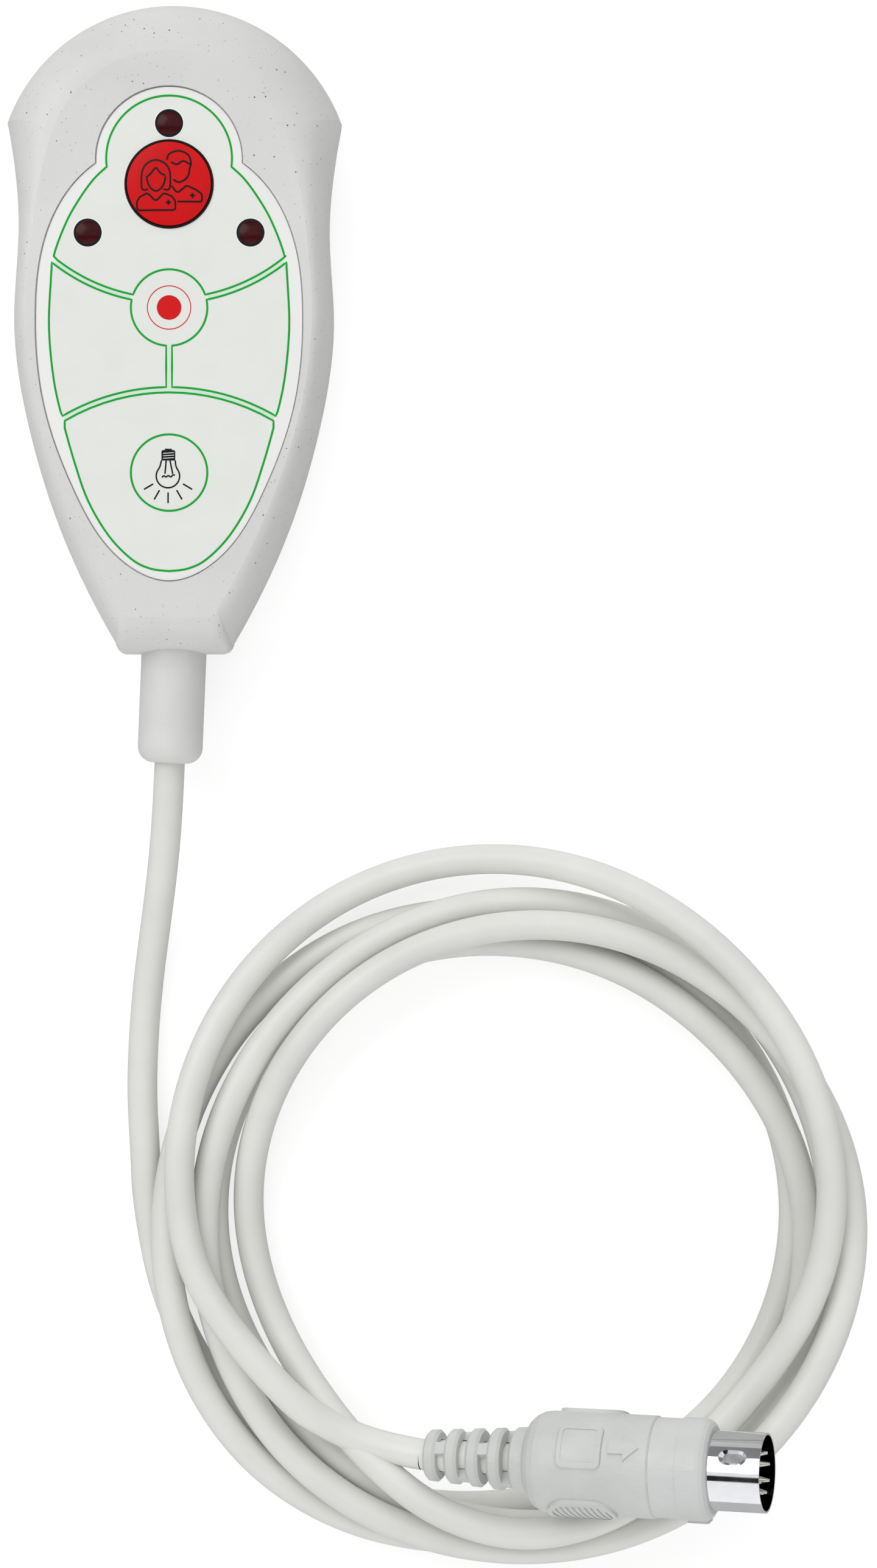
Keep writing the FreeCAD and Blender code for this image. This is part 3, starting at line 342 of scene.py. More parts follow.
cable_paint = moulded("cable_jacket", srgb(228, 228, 224), srgb(219, 219, 215), 0.42)
cable_curve.materials.append(cable_paint)
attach(cable, "root")
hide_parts("cord_lead", "cord_coil", "cord_tail")

# Housing: two moulded shells of light grey plastic flecked with fine dark grains, closed on a
# rubber cord. The fleck is in the plastic itself, so it runs over every edge.
# Height where the shells meet, and half the width of the dark line painted there as the shade in the gap
# between them
SEAM_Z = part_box("rear_shell")[1].z
SEAM_SHADE_HALF = 0.00012


def paint_nodes(material, *names):
    """Gives CAD pieces their material in every slot."""
    for name in names:
        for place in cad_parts[name].material_slots:
            place.material = material


def flecks(add, join, place, scale, size, strength):
    """Share of dark fleck at each point: small balls scattered through the plastic."""
    cells = add("ShaderNodeTexVoronoi", Scale=scale)
    join(place, cells.inputs["Vector"])
    ball = ranged(add, join, cells.outputs["Distance"], size * 0.6, size, 1.0, 0.0)
    chance = add("ShaderNodeSeparateColor")
    join(cells.outputs["Color"], chance.inputs["Color"])
    kept = ranged(add, join, chance.outputs["Red"], 0.1, 0.7, 0.0, strength)
    both = add("ShaderNodeMath", operation="MULTIPLY")
    join(ball, both.inputs[0])
    join(kept, both.inputs[1])
    return both.outputs["Value"]


housing_plastic, shader, add, join = new_material("flecked_housing")
place = add("ShaderNodeTexCoord").outputs["Object"]
colour = drifting(add, join, place, 38, srgb(218, 218, 216), srgb(210, 210, 208), detail=4.0,
                  roughness=0.65)
colour = tinted(add, join, flecks(add, join, place, 1150, 0.13, 0.8), colour, srgb(122, 118, 108))
colour = tinted(add, join, flecks(add, join, place, 540, 0.10, 0.95), colour, srgb(86, 82, 74))
# Painted shade: a dark grey line along the seam where the shells meet, in place of the shade in the gap
# between them
height = add("ShaderNodeSeparateXYZ")
join(place, height.inputs["Vector"])
off_seam = add("ShaderNodeMath", operation="SUBTRACT")
off_seam.inputs[1].default_value = SEAM_Z
join(height.outputs["Z"], off_seam.inputs[0])
apart = add("ShaderNodeMath", operation="ABSOLUTE")
join(off_seam.outputs["Value"], apart.inputs[0])
painted_gap_shade = ranged(add, join, apart.outputs["Value"], SEAM_SHADE_HALF * 0.5, SEAM_SHADE_HALF, 0.75, 0.0)
colour = tinted(add, join, painted_gap_shade, colour, srgb(96, 96, 96))
join(colour, shader.inputs["Base Color"])
grained(add, join, shader, place, 1400, 0.00003, 0.44)
paint_nodes(housing_plastic, "front_shell", "rear_shell")

# Seal and screws: a black rubber cord lies in the rear shell's groove, and four steel
# cross-head screws reach up from the back into the front shell's bosses.
paint_nodes(moulded("seal_cord", srgb(42, 42, 44), srgb(34, 34, 36), 0.6), "housing_seal")

screw_steel, shader, add, join = new_material("turned_steel")
shader.inputs["Base Color"].default_value = srgb(196, 197, 200)
shader.inputs["Metallic"].default_value = 1.0
place = add("ShaderNodeTexCoord").outputs["Object"]
stretch = add("ShaderNodeMapping", Scale=(1.0, 1.0, 12.0))
join(place, stretch.inputs["Vector"])
grained(add, join, shader, stretch.outputs["Vector"], 600, 0.00001, 0.32, 0.1)
paint_nodes(screw_steel, "housing_screws", "board_screws", "clamp_screws")

# Keypad film: polyester film let into the front shell, printed from behind. Its border is whiter
# than the four fields inside the green lines.
film, shader, add, join = new_material("keypad_film")
place = add("ShaderNodeTexCoord").outputs["Object"]
join(drifting(add, join, place, 30, srgb(237, 238, 235), srgb(233, 234, 231)),
     shader.inputs["Base Color"])
grained(add, join, shader, place, 2200, 0.000012, 0.36)
paint_nodes(film, "keypad_overlay")

MM = 0.001
FILM_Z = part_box("keypad_overlay")[1].z
FIELD_MID_Y, FIELD_MID_R = 2.3, 6.53
LOBE_MID_Y, LOBE_LINE_R = 27.77, 10.74
# The line beside the film's edge, on the right, from the lobe's notch to the foot
SIDE_LINE = [(10.65, 26.35), (12.9, 24.2), (15.3, 20.9), (17.6, 16.8), (19.7, 11.1), (20.25, 6.0),
             (20.5, -1.5), (19.7, -10.0), (18.2, -16.8), (16.1, -24.3), (13.8, -30.8),
             (10.3, -36.7), (6.4, -40.7), (3.2, -42.3), (0.0, -42.73)]
UPPER_ARC_Y, UPPER_ARC_R = 35.1, (31.2, 32.1)
LOWER_ARC_Y, LOWER_ARC_R = -47.35, (36.05, 35.15)
STEM_HALF = 0.5
FIELD_RISE, TINT_RISE, LINE_RISE = 0.02, 0.03, 0.05
LINE_WIDE = 0.35


def arc(centre, radius, start, end, pieces=24):
    """Points of an arc between two angles in degrees."""
    steps = [math.radians(start + (end - start) * i / pieces) for i in range(pieces + 1)]
    return [(centre[0] + radius * math.cos(a), centre[1] + radius * math.sin(a)) for a in steps]


def eased(points, pieces=5):
    """Points of a smooth line through the given ones."""
    line = []
    ends = [points[0]] + points + [points[-1]]
    for a, b, c, d in zip(ends, ends[1:], ends[2:], ends[3:]):
        for i in range(pieces):
            t = i / pieces
            line.append(tuple(b[k] + 0.5 * t * (c[k] - a[k]
                                                + t * (2 * a[k] - 5 * b[k] + 4 * c[k] - d[k])
                                                + t * t * (3 * b[k] - a[k] - 3 * c[k] + d[k]))
                              for k in (0, 1)))
    return line + [points[-1]]


def mirrored_line(points):
    return [(-x, y) for x, y in reversed(points)]


def arc_across(centre_y, radius, x_from, x_to, below):
    """Arc of a wide circle between two places across the film."""
    side = -1 if below else 1
    steps = [x_from + (x_to - x_from) * i / 16 for i in range(17)]
    return [(x, centre_y + side * math.sqrt(radius ** 2 - x ** 2)) for x in steps]


def side_between(high, low):
    """The side line from one height down to another."""
    line = [p for p in eased(SIDE_LINE) if low < p[1] < high]

    def at(y):
        above = [p for p in eased(SIDE_LINE) if p[1] >= y][-1]
        under = [p for p in eased(SIDE_LINE) if p[1] <= y][0]
        share = 0 if above == under else (above[1] - y) / (above[1] - under[1])
        return (above[0] + share * (under[0] - above[0]), y)
    return [at(high)] + line + [at(low)]


def crossing(centre_y, radius, below):
    """Where one of the wide arcs meets the side line on the right."""
    side = -1 if below else 1
    line = eased(SIDE_LINE)
    for x, y in line:
        if y <= centre_y + side * math.sqrt(max(radius ** 2 - x ** 2, 0.0)):
            return (x, centre_y + side * math.sqrt(radius ** 2 - x ** 2))


def circle_join(centre_y, radius):
    """Where a wide upper arc meets the middle circle, on the right, as x and the angle there."""
    gap = centre_y - FIELD_MID_Y
    up = (gap ** 2 + FIELD_MID_R ** 2 - radius ** 2) / (2 * gap)
    x = math.sqrt(FIELD_MID_R ** 2 - up ** 2)
    return x, math.degrees(math.atan2(up, x))


upper_r, under_r = UPPER_ARC_R
corner_x, corner_y = crossing(UPPER_ARC_Y, upper_r, True)
join_x, join_angle = circle_join(UPPER_ARC_Y, upper_r)
notch_x, notch_y = SIDE_LINE[0]
notch_angle = math.degrees(math.atan2(notch_y - LOBE_MID_Y, notch_x))
right_side = side_between(notch_y, corner_y)
upper_field = (arc((0, LOBE_MID_Y), LOBE_LINE_R, notch_angle, 180 - notch_angle, 48)
               + mirrored_line(right_side)[::-1][1:]
               + arc_across(UPPER_ARC_Y, upper_r, -corner_x, -join_x, True)[1:]
               + arc((0, FIELD_MID_Y), FIELD_MID_R, 180 - join_angle, join_angle)[1:]
               + arc_across(UPPER_ARC_Y, upper_r, join_x, corner_x, True)[1:]
               + right_side[::-1][1:-1])

top_x, top_y = crossing(UPPER_ARC_Y, under_r, True)
foot_x, foot_y = crossing(LOWER_ARC_Y, LOWER_ARC_R[0], False)
join_x, join_angle = circle_join(UPPER_ARC_Y, under_r)
stem_angle = -math.degrees(math.acos(STEM_HALF / FIELD_MID_R))
right_field = (arc_across(UPPER_ARC_Y, under_r, top_x, join_x, True)
               + arc((0, FIELD_MID_Y), FIELD_MID_R, join_angle, stem_angle)[1:]
               + arc_across(LOWER_ARC_Y, LOWER_ARC_R[0], STEM_HALF, foot_x, False)
               + side_between(top_y, foot_y)[::-1][1:-1])
left_field = mirrored_line(right_field)

low_x, low_y = crossing(LOWER_ARC_Y, LOWER_ARC_R[1], False)
low_side = side_between(low_y, SIDE_LINE[-1][1])
bottom_field = (arc_across(LOWER_ARC_Y, LOWER_ARC_R[1], -low_x, low_x, False)
                + low_side[1:] + mirrored_line(low_side)[1:-1])

tree = bpy.data.node_groups.new("printed_line", "GeometryNodeTree")
sockets = tree.interface
sockets.new_socket("Geometry", in_out="INPUT", socket_type="NodeSocketGeometry")
for input_name in ("Width", "Thickness", "Corner Radius", "Dome Radius"):
    sockets.new_socket(input_name, in_out="INPUT", socket_type="NodeSocketFloat")
sockets.new_socket("Dome Centre", in_out="INPUT", socket_type="NodeSocketVector")
sockets.new_socket("Ink", in_out="INPUT", socket_type="NodeSocketMaterial")
sockets.new_socket("Geometry", in_out="OUTPUT", socket_type="NodeSocketGeometry")
steps = tree.nodes
given = steps.new("NodeGroupInput")
as_curve = steps.new("GeometryNodeMeshToCurve")
rounded = steps.new("GeometryNodeFilletCurve")
rounded.mode = "POLY"
rounded.inputs["Count"].default_value = 3
rounded.inputs["Limit Radius"].default_value = True
finer = steps.new("GeometryNodeSubdivideCurve")
finer.inputs["Cuts"].default_value = 1
upright = steps.new("GeometryNodeSetCurveNormal")
upright.mode = "Z_UP"
strip = steps.new("GeometryNodeCurvePrimitiveQuadrilateral")
swept = steps.new("GeometryNodeCurveToMesh")
swept.inputs["Fill Caps"].default_value = True
here = steps.new("GeometryNodeInputPosition")
away = steps.new("ShaderNodeVectorMath")
away.operation = "DISTANCE"
square = steps.new("ShaderNodeMath")
square.operation = "MULTIPLY"
sink = steps.new("ShaderNodeMath")
sink.operation = "DIVIDE"
halved = steps.new("ShaderNodeMath")
halved.operation = "MULTIPLY"
halved.inputs[1].default_value = -0.5
drop = steps.new("ShaderNodeCombineXYZ")
moved = steps.new("GeometryNodeSetPosition")
real = steps.new("GeometryNodeRealizeInstances")
inked = steps.new("GeometryNodeSetMaterial")
handed = steps.new("NodeGroupOutput")
for source, target in (
        (given.outputs["Geometry"], as_curve.inputs["Mesh"]),
        (as_curve.outputs["Curve"], rounded.inputs["Curve"]),
        (given.outputs["Corner Radius"], rounded.inputs["Radius"]),
        (rounded.outputs["Curve"], finer.inputs["Curve"]),
        (finer.outputs["Curve"], upright.inputs["Curve"]),
        (upright.outputs["Curve"], swept.inputs["Curve"]),
        (given.outputs["Width"], strip.inputs["Width"]),
        (given.outputs["Thickness"], strip.inputs["Height"]),
        (strip.outputs["Curve"], swept.inputs["Profile Curve"]),
        (here.outputs["Position"], away.inputs[0]),
        (given.outputs["Dome Centre"], away.inputs[1]),
        (away.outputs["Value"], square.inputs[0]),
        (away.outputs["Value"], square.inputs[1]),
        (square.outputs["Value"], sink.inputs[0]),
        (given.outputs["Dome Radius"], sink.inputs[1]),
        (sink.outputs["Value"], halved.inputs[0]),
        (halved.outputs["Value"], drop.inputs["Z"]),
        (swept.outputs["Mesh"], moved.inputs["Geometry"]),
        (drop.outputs["Vector"], moved.inputs["Offset"]),
        (moved.outputs["Geometry"], real.inputs["Geometry"]),
        (real.outputs["Geometry"], inked.inputs["Geometry"]),
        (given.outputs["Ink"], inked.inputs["Material"]),
        (inked.outputs["Geometry"], handed.inputs["Geometry"])):
    tree.links.new(source, target)
line_input = {item.name: item.identifier for item in sockets.items_tree if item.in_out == "INPUT"}
FLAT = 1e9


def facing_out(mesh):
    """Merges doubles and turns every face of closed pieces outwards."""
    work = bmesh.new()
    work.from_mesh(mesh)
    bmesh.ops.remove_doubles(work, verts=work.verts, dist=1e-7)
    bmesh.ops.recalc_face_normals(work, faces=work.faces)
    for face in work.faces:
        face.smooth = False
    work.to_mesh(mesh)
    work.free()


def printed(name, strokes, ink, width, z, body="root", corner=0.0, dome=FLAT, centre=(0.0, 0.0),
            rise=LINE_RISE):
    """Ink lines along strokes of (points, closed) in mm, as one thin piece raised above a face."""
    points, edges = [], []
    for stroke, closed in strokes:
        first = len(points)
        points += [(x * MM, y * MM, z) for x, y in stroke]
        edges += [(i, i + 1) for i in range(first, len(points) - 1)]
        if closed:
            edges.append((len(points) - 1, first))
    path_mesh = bpy.data.meshes.new(name + "_path")
    path_mesh.from_pydata(points, edges, [])
    lines = bpy.data.objects.new(name + "_path", path_mesh)
    scene.collection.objects.link(lines)
    made = lines.modifiers.new("line", "NODES")
    made.node_group = tree
    made[line_input["Width"]] = width * MM
    made[line_input["Thickness"]] = 2 * rise * MM
    made[line_input["Corner Radius"]] = corner * MM
    made[line_input["Dome Radius"]] = dome * MM
    made[line_input["Dome Centre"]] = (centre[0] * MM, centre[1] * MM, z)
    made[line_input["Ink"]] = ink
    drawn = lines.evaluated_get(bpy.context.evaluated_depsgraph_get())
    mesh = bpy.data.meshes.new_from_object(drawn)
    mesh.name = name
    lines.modifiers.remove(made)
    bpy.data.objects.remove(lines)
    facing_out(mesh)
    piece = bpy.data.objects.new(name, mesh)
    scene.collection.objects.link(piece)
    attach(piece, body)
    return piece


def printed_field(name, outlines, ink, z, rise=FIELD_RISE):
    """Solid areas of ink inside closed outlines in mm, as one thin slab; an outline inside another
    one leaves a hole."""
    work = bmesh.new()
    edges = []
    for outline in outlines:
        corners = [work.verts.new((x * MM, y * MM, z - rise * MM)) for x, y in outline]
        edges += [work.edges.new(pair) for pair in zip(corners, corners[1:] + corners[:1])]
    bmesh.ops.triangle_fill(work, use_beauty=True, edges=edges, normal=(0, 0, 1))
    raised = bmesh.ops.extrude_face_region(work, geom=work.faces[:])
    bmesh.ops.translate(work, vec=(0, 0, 2 * rise * MM),
                        verts=[v for v in raised["geom"] if isinstance(v, bmesh.types.BMVert)])
    mesh = bpy.data.meshes.new(name)
    work.to_mesh(mesh)
    work.free()
    facing_out(mesh)
    mesh.materials.append(ink)
    piece = bpy.data.objects.new(name, mesh)
    scene.collection.objects.link(piece)
    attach(piece, "root")
    return piece


def ink(name, colour, shade, roughness=0.34):
    """Screen-printed ink: nearly even, with the film's own grain."""
    return moulded(name, colour, shade, roughness, blotch=160, grain=2200, grain_depth=0.00001, specular=0.15)


field_ink = ink("field_white", srgb(230, 232, 227), srgb(227, 229, 224))
tint_ink = ink("gap_tint", srgb(211, 231, 214), srgb(216, 234, 219))
green_ink = ink("line_green", srgb(8, 165, 52), srgb(14, 158, 50))
fields = (upper_field, left_field, right_field, bottom_field)
CALL_X, CALL_Y, CALL_HOLE_R = 0.0, 23.4, 7.7
LAMPS = {"top": (0.0, 33.8), "left": (-13.9, 15.1), "right": (13.9, 15.1)}
LAMP_HOLE_R = 2.45
holes = [arc((CALL_X, CALL_Y), CALL_HOLE_R, 0, 360, 72)[:-1]]
holes += [arc(centre, LAMP_HOLE_R, 0, 360, 36)[:-1] for centre in LAMPS.values()]
mid_circle = arc((0, FIELD_MID_Y), FIELD_MID_R - 0.01, 0, 360, 64)[:-1]
for name, outlines in (("upper_field", [upper_field] + holes), ("left_field", [left_field]),
                       ("right_field", [right_field]), ("bottom_field", [bottom_field]),
                       ("middle_field", [mid_circle])):
    printed_field(name, outlines, field_ink, FILM_Z)
gap_arcs = [arc_across(UPPER_ARC_Y, sum(UPPER_ARC_R) / 2, side * 6.6, side * 19.4, True) for side in (-1, 1)]
gap_arcs.append(arc_across(LOWER_ARC_Y, sum(LOWER_ARC_R) / 2, -17.9, 17.9, False))
gap_arcs.append([(0.0, FIELD_MID_Y - FIELD_MID_R - 0.1), (0.0, LOWER_ARC_Y + LOWER_ARC_R[0])])
printed("gap_print", [(line, False) for line in gap_arcs], tint_ink, 0.8, FILM_Z, rise=TINT_RISE)

LIGHT_Y, LIGHT_R = -25.9, 6.53
light_circle = arc((0, LIGHT_Y), LIGHT_R, 0, 360, 64)[:-1]
printed("green_lines", [(line, True) for line in fields + (light_circle,)], green_ink, LINE_WIDE, FILM_Z)

# Middle mark: a plain red dot in a thin ring, printed in the middle of the four fields.
DOT_R, DOT_RING_R = 2.1, 3.7
red_ink = ink("dot_red", srgb(214, 20, 24), srgb(206, 18, 22))
printed_field("middle_dot", [arc((0, FIELD_MID_Y), DOT_R, 0, 360, 48)[:-1]], red_ink, FILM_Z,
              rise=LINE_RISE)
printed("middle_ring", [(arc((0, FIELD_MID_Y), DOT_RING_R, 0, 360, 64)[:-1], True)], red_ink, 0.16, FILM_Z)

# Light symbol: a lamp bulb with its cap up and five rays below it, printed in black on the key
# that works the room light.
BULB_X, BULB_Y, BULB_R = -0.2, -26.5, 2.0
CAP_X, CAP_HALF, CAP_TOP, CAP_FOOT = -0.13, 1.18, -22.05, -23.84
TIP_HALF, TIP_TOP = 0.6, -21.83
RAY_X, RAY_Y, RAY_FROM, RAY_TO = -0.17, -26.35, 2.95, 4.78
black_ink = ink("symbol_black", srgb(16, 18, 22), srgb(24, 26, 30))
white_ink = ink("key_line_white", srgb(243, 244, 242), srgb(239, 240, 238))
glass_line = ([(CAP_X - CAP_HALF, CAP_FOOT), (CAP_X - CAP_HALF - 0.2, CAP_FOOT - 0.9)]
              + arc((BULB_X, BULB_Y), BULB_R, 140, 400)
              + [(CAP_X + CAP_HALF + 0.1, CAP_FOOT - 0.9), (CAP_X + CAP_HALF, CAP_FOOT)])
filament = [(-1.2, -26.75), (-0.9, -26.3), (-0.55, -26.75), (-0.1, -26.3), (0.25, -26.8), (0.65, -26.25),
            (1.0, -26.35)]
supports = [[(-0.5, CAP_FOOT), (-0.7, -26.1)], [(0.15, CAP_FOOT), (0.62, -26.1)]]
rays = []
for k in range(-2, 3):
    turn = math.radians(-90 + 29.8 * k)
    rays.append([(RAY_X + r * math.cos(turn), RAY_Y + r * math.sin(turn)) for r in (RAY_FROM, RAY_TO)])
printed("bulb_lines", [(line, False) for line in [glass_line, filament] + supports + rays], black_ink,
        0.26, FILM_Z, corner=0.25)
bulb_cap = [(CAP_X - CAP_HALF, CAP_FOOT), (CAP_X + CAP_HALF, CAP_FOOT), (CAP_X + CAP_HALF, CAP_TOP - 0.2),
            (CAP_X + CAP_HALF - 0.2, CAP_TOP), (CAP_X + TIP_HALF, CAP_TOP), (CAP_X + TIP_HALF, TIP_TOP),
            (CAP_X - TIP_HALF, TIP_TOP), (CAP_X - TIP_HALF, CAP_TOP), (CAP_X - CAP_HALF + 0.2, CAP_TOP),
            (CAP_X - CAP_HALF, CAP_TOP - 0.2)]
printed_field("bulb_cap", [bulb_cap], black_ink, FILM_Z, rise=LINE_RISE)
cap_threads = [[(CAP_X - 0.9, y - 0.06), (CAP_X + 0.95, y + 0.06)] for y in (-22.55, -22.98, -23.4)]
printed("cap_threads", [(line, False) for line in cap_threads], white_ink, 0.1, FILM_Z, rise=LINE_RISE + 0.02)

# Indicator lamps: three domed lenses of dark red plastic that press up into the film, each
# framed by a printed black ring with a fine white edge, over a red lamp on the board.
RING_MID_R, RING_WIDE = 2.2, 0.42
EDGE_R, EDGE_WIDE = 2.5, 0.18
lens_red, shader, add, join = new_material("lens_dark_red")
place = add("ShaderNodeTexCoord").outputs["Object"]
join(drifting(add, join, place, 500, srgb(68, 13, 18), srgb(54, 9, 14), low=0.3, detail=2.0),
     shader.inputs["Base Color"])
shader.inputs["Specular IOR Level"].default_value = 0.15
grained(add, join, shader, place, 1500, 0.000004, 0.24, 0.03)
paint_nodes(lens_red, *["indicator_lens_" + name for name in LAMPS])
lamp_rings = [(arc(centre, RING_MID_R, 0, 360, 48)[:-1], True) for centre in LAMPS.values()]
printed("lamp_rings", lamp_rings, black_ink, RING_WIDE, FILM_Z)
lamp_edges = [(arc(centre, EDGE_R, 0, 360, 48)[:-1], True) for centre in LAMPS.values()]
led_red = moulded("led_red", srgb(168, 28, 30), srgb(150, 22, 26), 0.2)
paint_nodes(led_red, *["indicator_led_" + name for name in LAMPS])

# Call button: one red moulding, slightly domed, that stands proud of the film in a black rubber
# ring. Its symbol is two plain figures in thin black lines.
CALL_R, CALL_DOME = 7.15, 0.5
CALL_TOP_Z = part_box("call_button")[1].z
CALL_EDGE_R = 7.74
call_red, shader, add, join = new_material("call_red")
place = add("ShaderNodeTexCoord").outputs["Object"]
join(drifting(add, join, place, 120, srgb(210, 22, 26), srgb(200, 20, 24)), shader.inputs["Base Color"])
shader.inputs["Specular IOR Level"].default_value = 0.1
grained(add, join, shader, place, 1300, 0.000006, 0.22, 0.03)
paint_nodes(call_red, "call_button")
button_ring = moulded("button_ring", srgb(12, 12, 14), srgb(20, 20, 22), 0.5, specular=0.15)
paint_nodes(button_ring, "call_button_seal")
lamp_edges.append((arc((CALL_X, CALL_Y), CALL_EDGE_R, 0, 360, 96)[:-1], True))
printed("white_edges", lamp_edges, white_ink, EDGE_WIDE, FILM_Z)


def plus(x, y, half):
    return ([(x - half, y), (x + half, y)], False), ([(x, y - half), (x, y + half)], False)


def moved_to_button(points):
    return [(CALL_X + x, CALL_Y + y) for x, y in points]


# Front figure: bobbed hair, fringe, face, and shoulders with a pointed neck
hair = [(-3.5, -1.05), (-4.55, -0.95), (-4.6, 1.6), (-4.1, 2.95), (-3.2, 3.7), (-2.2, 3.95), (-1.2, 3.7),
        (-0.25, 2.95), (0.25, 1.6), (0.15, -0.95), (-0.9, -1.05)]
fringe = [(-3.8, 1.0), (-3.1, 1.6), (-2.2, 2.6), (-1.5, 1.8), (-0.55, 1.25)]
face = [(-3.75, 1.1), (-3.55, 0.0), (-2.95, -0.95), (-2.15, -1.35), (-1.35, -0.95), (-0.75, 0.0),
        (-0.55, 1.1)]
shoulders = [(-5.45, -4.6), (-5.45, -3.1), (-4.9, -2.3), (-3.6, -1.7), (-2.2, -3.1), (-0.8, -1.7),
             (0.6, -2.3), (1.15, -3.1), (1.15, -4.6)]
# Back figure: short hair, fringe, face, and the shoulder that shows
back_hair = [(-0.35, 3.95), (0.15, 5.05), (1.75, 5.55), (3.3, 4.85), (3.8, 3.4), (3.5, 2.4)]
back_fringe = [(0.4, 3.6), (1.4, 3.2), (2.5, 3.8), (3.6, 3.2)]
back_face = [(3.6, 2.5), (3.3, 1.2), (2.5, 0.4), (1.6, 0.15), (0.8, 0.6)]
back_shoulders = [(0.5, -0.5), (1.45, -1.75), (3.1, -0.4), (4.6, -1.1), (5.6, -1.8), (5.75, -3.15),
                  (1.5, -3.15)]
heads = (hair, fringe, face, back_hair, back_fringe, back_face)
strokes = [(eased(moved_to_button(line)), False) for line in heads]
strokes += [(moved_to_button(shoulders), True), (moved_to_button(back_shoulders), False)]
strokes += plus(CALL_X - 0.05, CALL_Y - 3.3, 0.42) + plus(CALL_X + 4.05, CALL_Y - 2.1, 0.42)
dome_r = (CALL_R ** 2 + CALL_DOME ** 2) / (2 * CALL_DOME)
printed("call_symbol", strokes, black_ink, 0.29, CALL_TOP_Z, body="call_button_body", corner=0.45,
        dome=dome_r, centre=(CALL_X, CALL_Y))

# Keys and switches: three white key caps press through the film on small board switches with
# black cases and brown plungers, and the call button stands on a fourth.
key_white = moulded("key_white", srgb(236, 236, 232), srgb(228, 228, 224), 0.4)
paint_nodes(key_white, "left_key", "right_key", "light_key")
SWITCHED = ("call", "left", "right", "light")
switch_black = moulded("switch_black", srgb(38, 38, 40), srgb(48, 48, 50), 0.45)
paint_nodes(switch_black, *[n + "_switch" for n in SWITCHED])
plunger_brown = moulded("plunger_brown", srgb(120, 82, 54), srgb(108, 74, 48), 0.4)
paint_nodes(plunger_brown, *[n + "_plunger" for n in SWITCHED])

# Circuit board: green glass-fibre board, its copper tracks showing lighter through the mask,
# hung on the front shell's three posts, with a white nylon connector below.
board_green, shader, add, join = new_material("board_green")
place = add("ShaderNodeTexCoord").outputs["Object"]
tracks = add("ShaderNodeTexBrick", Scale=180.0, offset=0.35, squash=1.6)
for socket_name, setting in (("Color1", (1, 1, 1, 1)), ("Color2", (1, 1, 1, 1)), ("Mortar", (0, 0, 0, 1))):
    tracks.inputs[socket_name].default_value = setting
tracks.inputs["Mortar Size"].default_value = 0.035
join(place, tracks.inputs["Vector"])
join(tinted(add, join, tracks.outputs["Fac"], srgb(22, 92, 52), srgb(52, 128, 70)),
     shader.inputs["Base Color"])
grained(add, join, shader, place, 700, 0.00001, 0.3)
paint_nodes(board_green, "circuit_board")
paint_nodes(moulded("connector_nylon", srgb(232, 230, 222), srgb(224, 222, 212), 0.45), "cable_connector")

# Wires: seven cores, each of its own colour, run side by side from the cable's end to the
# connector.
WIRE_COLOURS = ((235, 235, 232), (120, 74, 40), (44, 150, 64), (232, 206, 52), (150, 150, 152),
                (226, 130, 160), (48, 84, 176))
low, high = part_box("cable_wires")
wire_paint, shader, add, join = new_material("wire_colours")
place = add("ShaderNodeTexCoord").outputs["Object"]
split = add("ShaderNodeSeparateXYZ")
join(place, split.inputs["Vector"])
across = ranged(add, join, split.outputs["X"], low.x, high.x)
bands = add("ShaderNodeValToRGB")
bands.color_ramp.interpolation = "CONSTANT"
marks = bands.color_ramp.elements
for i, colour in enumerate(WIRE_COLOURS):
    mark = marks[i] if i < 2 else marks.new(i / len(WIRE_COLOURS))
    mark.position = i / len(WIRE_COLOURS)
    mark.color = srgb(*colour)
join(across, bands.inputs["Fac"])
join(bands.outputs["Color"], shader.inputs["Base Color"])
grained(add, join, shader, place, 900, 0.00001, 0.4)
paint_nodes(wire_paint, "cable_wires")

# Sleeve and clamp: a soft grey sleeve guards the cable at the housing's foot, with its collar
# behind the end block, and a nylon bar holds the cable against a pull.
paint_nodes(moulded("sleeve_grey", srgb(219, 219, 217), srgb(210, 210, 208), 0.46, blotch=70), "cable_sleeve")
paint_nodes(moulded("clamp_nylon", srgb(205, 205, 203), srgb(196, 196, 194), 0.5), "cable_clamp")
paint_nodes(cable_paint, "cable_entry", "plug_cable")

# Plug body: soft grey plastic moulded over the cable and the carrier, with a slotted boot, a bare
# square pad, an arrow and two ribbed grips. Flow marks and light scuffs run along it.
PLUG_REAR = (0.04335, -0.1955, 0.0160)
PLUG_TURN = tuple(math.radians(a) for a in (-33.0, -18.6, 1.3))


def along_plug(add, join):
    """Place in the plug's own frame: X along its axis from the boot's rear."""
    seat = add("ShaderNodeMapping", vector_type="TEXTURE", Location=PLUG_REAR, Rotation=PLUG_TURN)
    join(add("ShaderNodeTexCoord").outputs["Object"], seat.inputs["Vector"])
    return seat.outputs["Vector"]


def plug_plastic(name, colour, shade, roughness):
    """Grey plug plastic with scuffs that follow the plug's axis."""
    material, shader, add, join = new_material(name)
    place = along_plug(add, join)
    drawn = add("ShaderNodeMapping", Scale=(0.25, 1.0, 1.0))
    join(place, drawn.inputs["Vector"])
    scuff = add("ShaderNodeTexNoise", Scale=1500, Detail=3.0, Distortion=1.5)
    join(drawn.outputs["Vector"], scuff.inputs["Vector"])
    base = drifting(add, join, place, 90, colour, shade, high=0.68, detail=5.0, roughness=0.6)
    fine = ranged(add, join, scuff.outputs["Fac"], 0.62, 0.8, 0.0, 0.25)
    join(tinted(add, join, fine, base, srgb(176, 178, 176)), shader.inputs["Base Color"])
    grained(add, join, shader, drawn.outputs["Vector"], 1500, 0.00008, roughness)
    return material


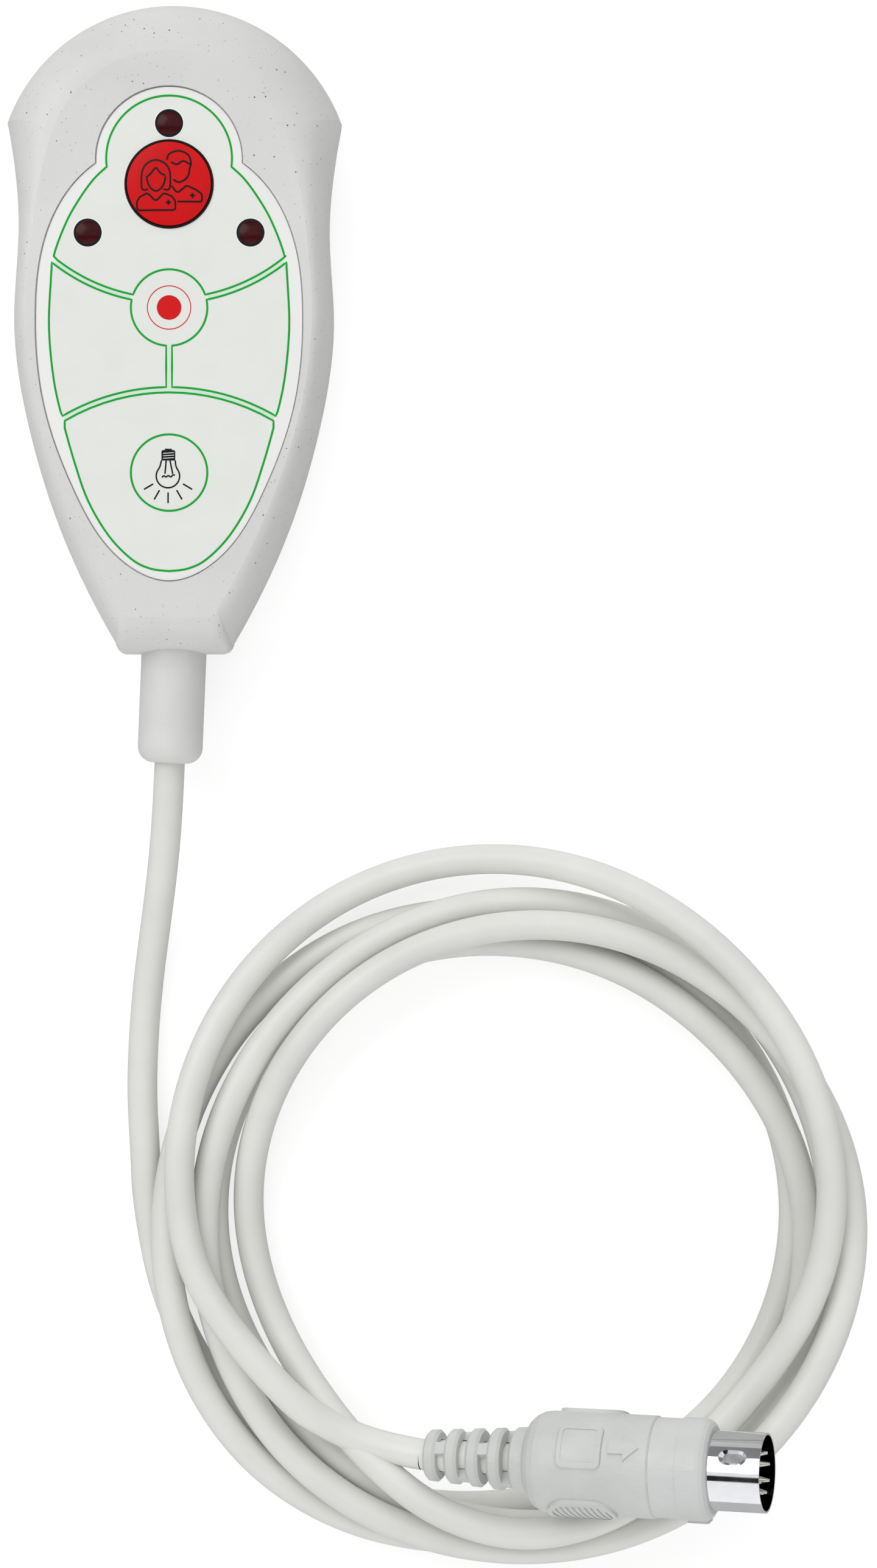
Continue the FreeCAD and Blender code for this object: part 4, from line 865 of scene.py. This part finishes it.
paint_nodes(plug_plastic("plug_soft_grey", srgb(208, 210, 208), srgb(198, 200, 197), 0.5), "plug_body")
paint_nodes(plug_plastic("plug_hard_grey", srgb(209, 211, 210), srgb(201, 203, 201), 0.44), "plug_collar")

# Plug front: a pressed and plated steel shell, its inside painted dark as shade, round a black disc
# that holds seven bright pins with pointed tips.
SHELL_R, SHELL_WALL = 0.0066, 0.0004
DIMPLE_AT = (0.0561, 0.0, 0.0063)
plated, shader, add, join = new_material("plated_shell")
place = along_plug(add, join)
split = add("ShaderNodeSeparateXYZ")
join(place, split.inputs["Vector"])
sideways = add("ShaderNodeCombineXYZ")
join(split.outputs["Y"], sideways.inputs["Y"])
join(split.outputs["Z"], sideways.inputs["Z"])
radial = add("ShaderNodeVectorMath", operation="LENGTH")
join(sideways.outputs["Vector"], radial.inputs[0])
# Painted shade: the shell's inner face, except round the dimple, is tinted near black to stand in for the
# shade inside its mouth
inside = ranged(add, join, radial.outputs["Value"], SHELL_R - SHELL_WALL * 0.9, SHELL_R - SHELL_WALL * 0.6,
                1.0, 0.0)
bright = drifting(add, join, place, 300, srgb(233, 234, 236), srgb(224, 225, 228), low=0.3)
off_dimple = add("ShaderNodeVectorMath", operation="DISTANCE")
off_dimple.inputs[1].default_value = DIMPLE_AT
join(place, off_dimple.inputs[0])
beside_dimple = ranged(add, join, off_dimple.outputs["Value"], 0.0028, 0.0030)
painted_inner_shade = add("ShaderNodeMath", operation="MULTIPLY")
join(inside, painted_inner_shade.inputs[0])
join(beside_dimple, painted_inner_shade.inputs[1])
join(tinted(add, join, painted_inner_shade.outputs["Value"], bright, srgb(30, 30, 32)), shader.inputs["Base Color"])
shader.inputs["Metallic"].default_value = 1.0
grained(add, join, shader, place, 500, 0.000002, 0.09, 0.03)
paint_nodes(plated, "plug_shell")
paint_nodes(moulded("insulator_black", srgb(20, 20, 22), srgb(28, 28, 30), 0.5), "plug_insulator")

pin_metal, shader, add, join = new_material("plated_pins")
place = add("ShaderNodeTexCoord").outputs["Object"]
join(drifting(add, join, place, 800, srgb(222, 220, 214), srgb(206, 203, 196), low=0.3, detail=2.0),
     shader.inputs["Base Color"])
shader.inputs["Metallic"].default_value = 1.0
grained(add, join, shader, place, 900, 0.000003, 0.2, 0.05)
paint_nodes(pin_metal, "contact_pins")
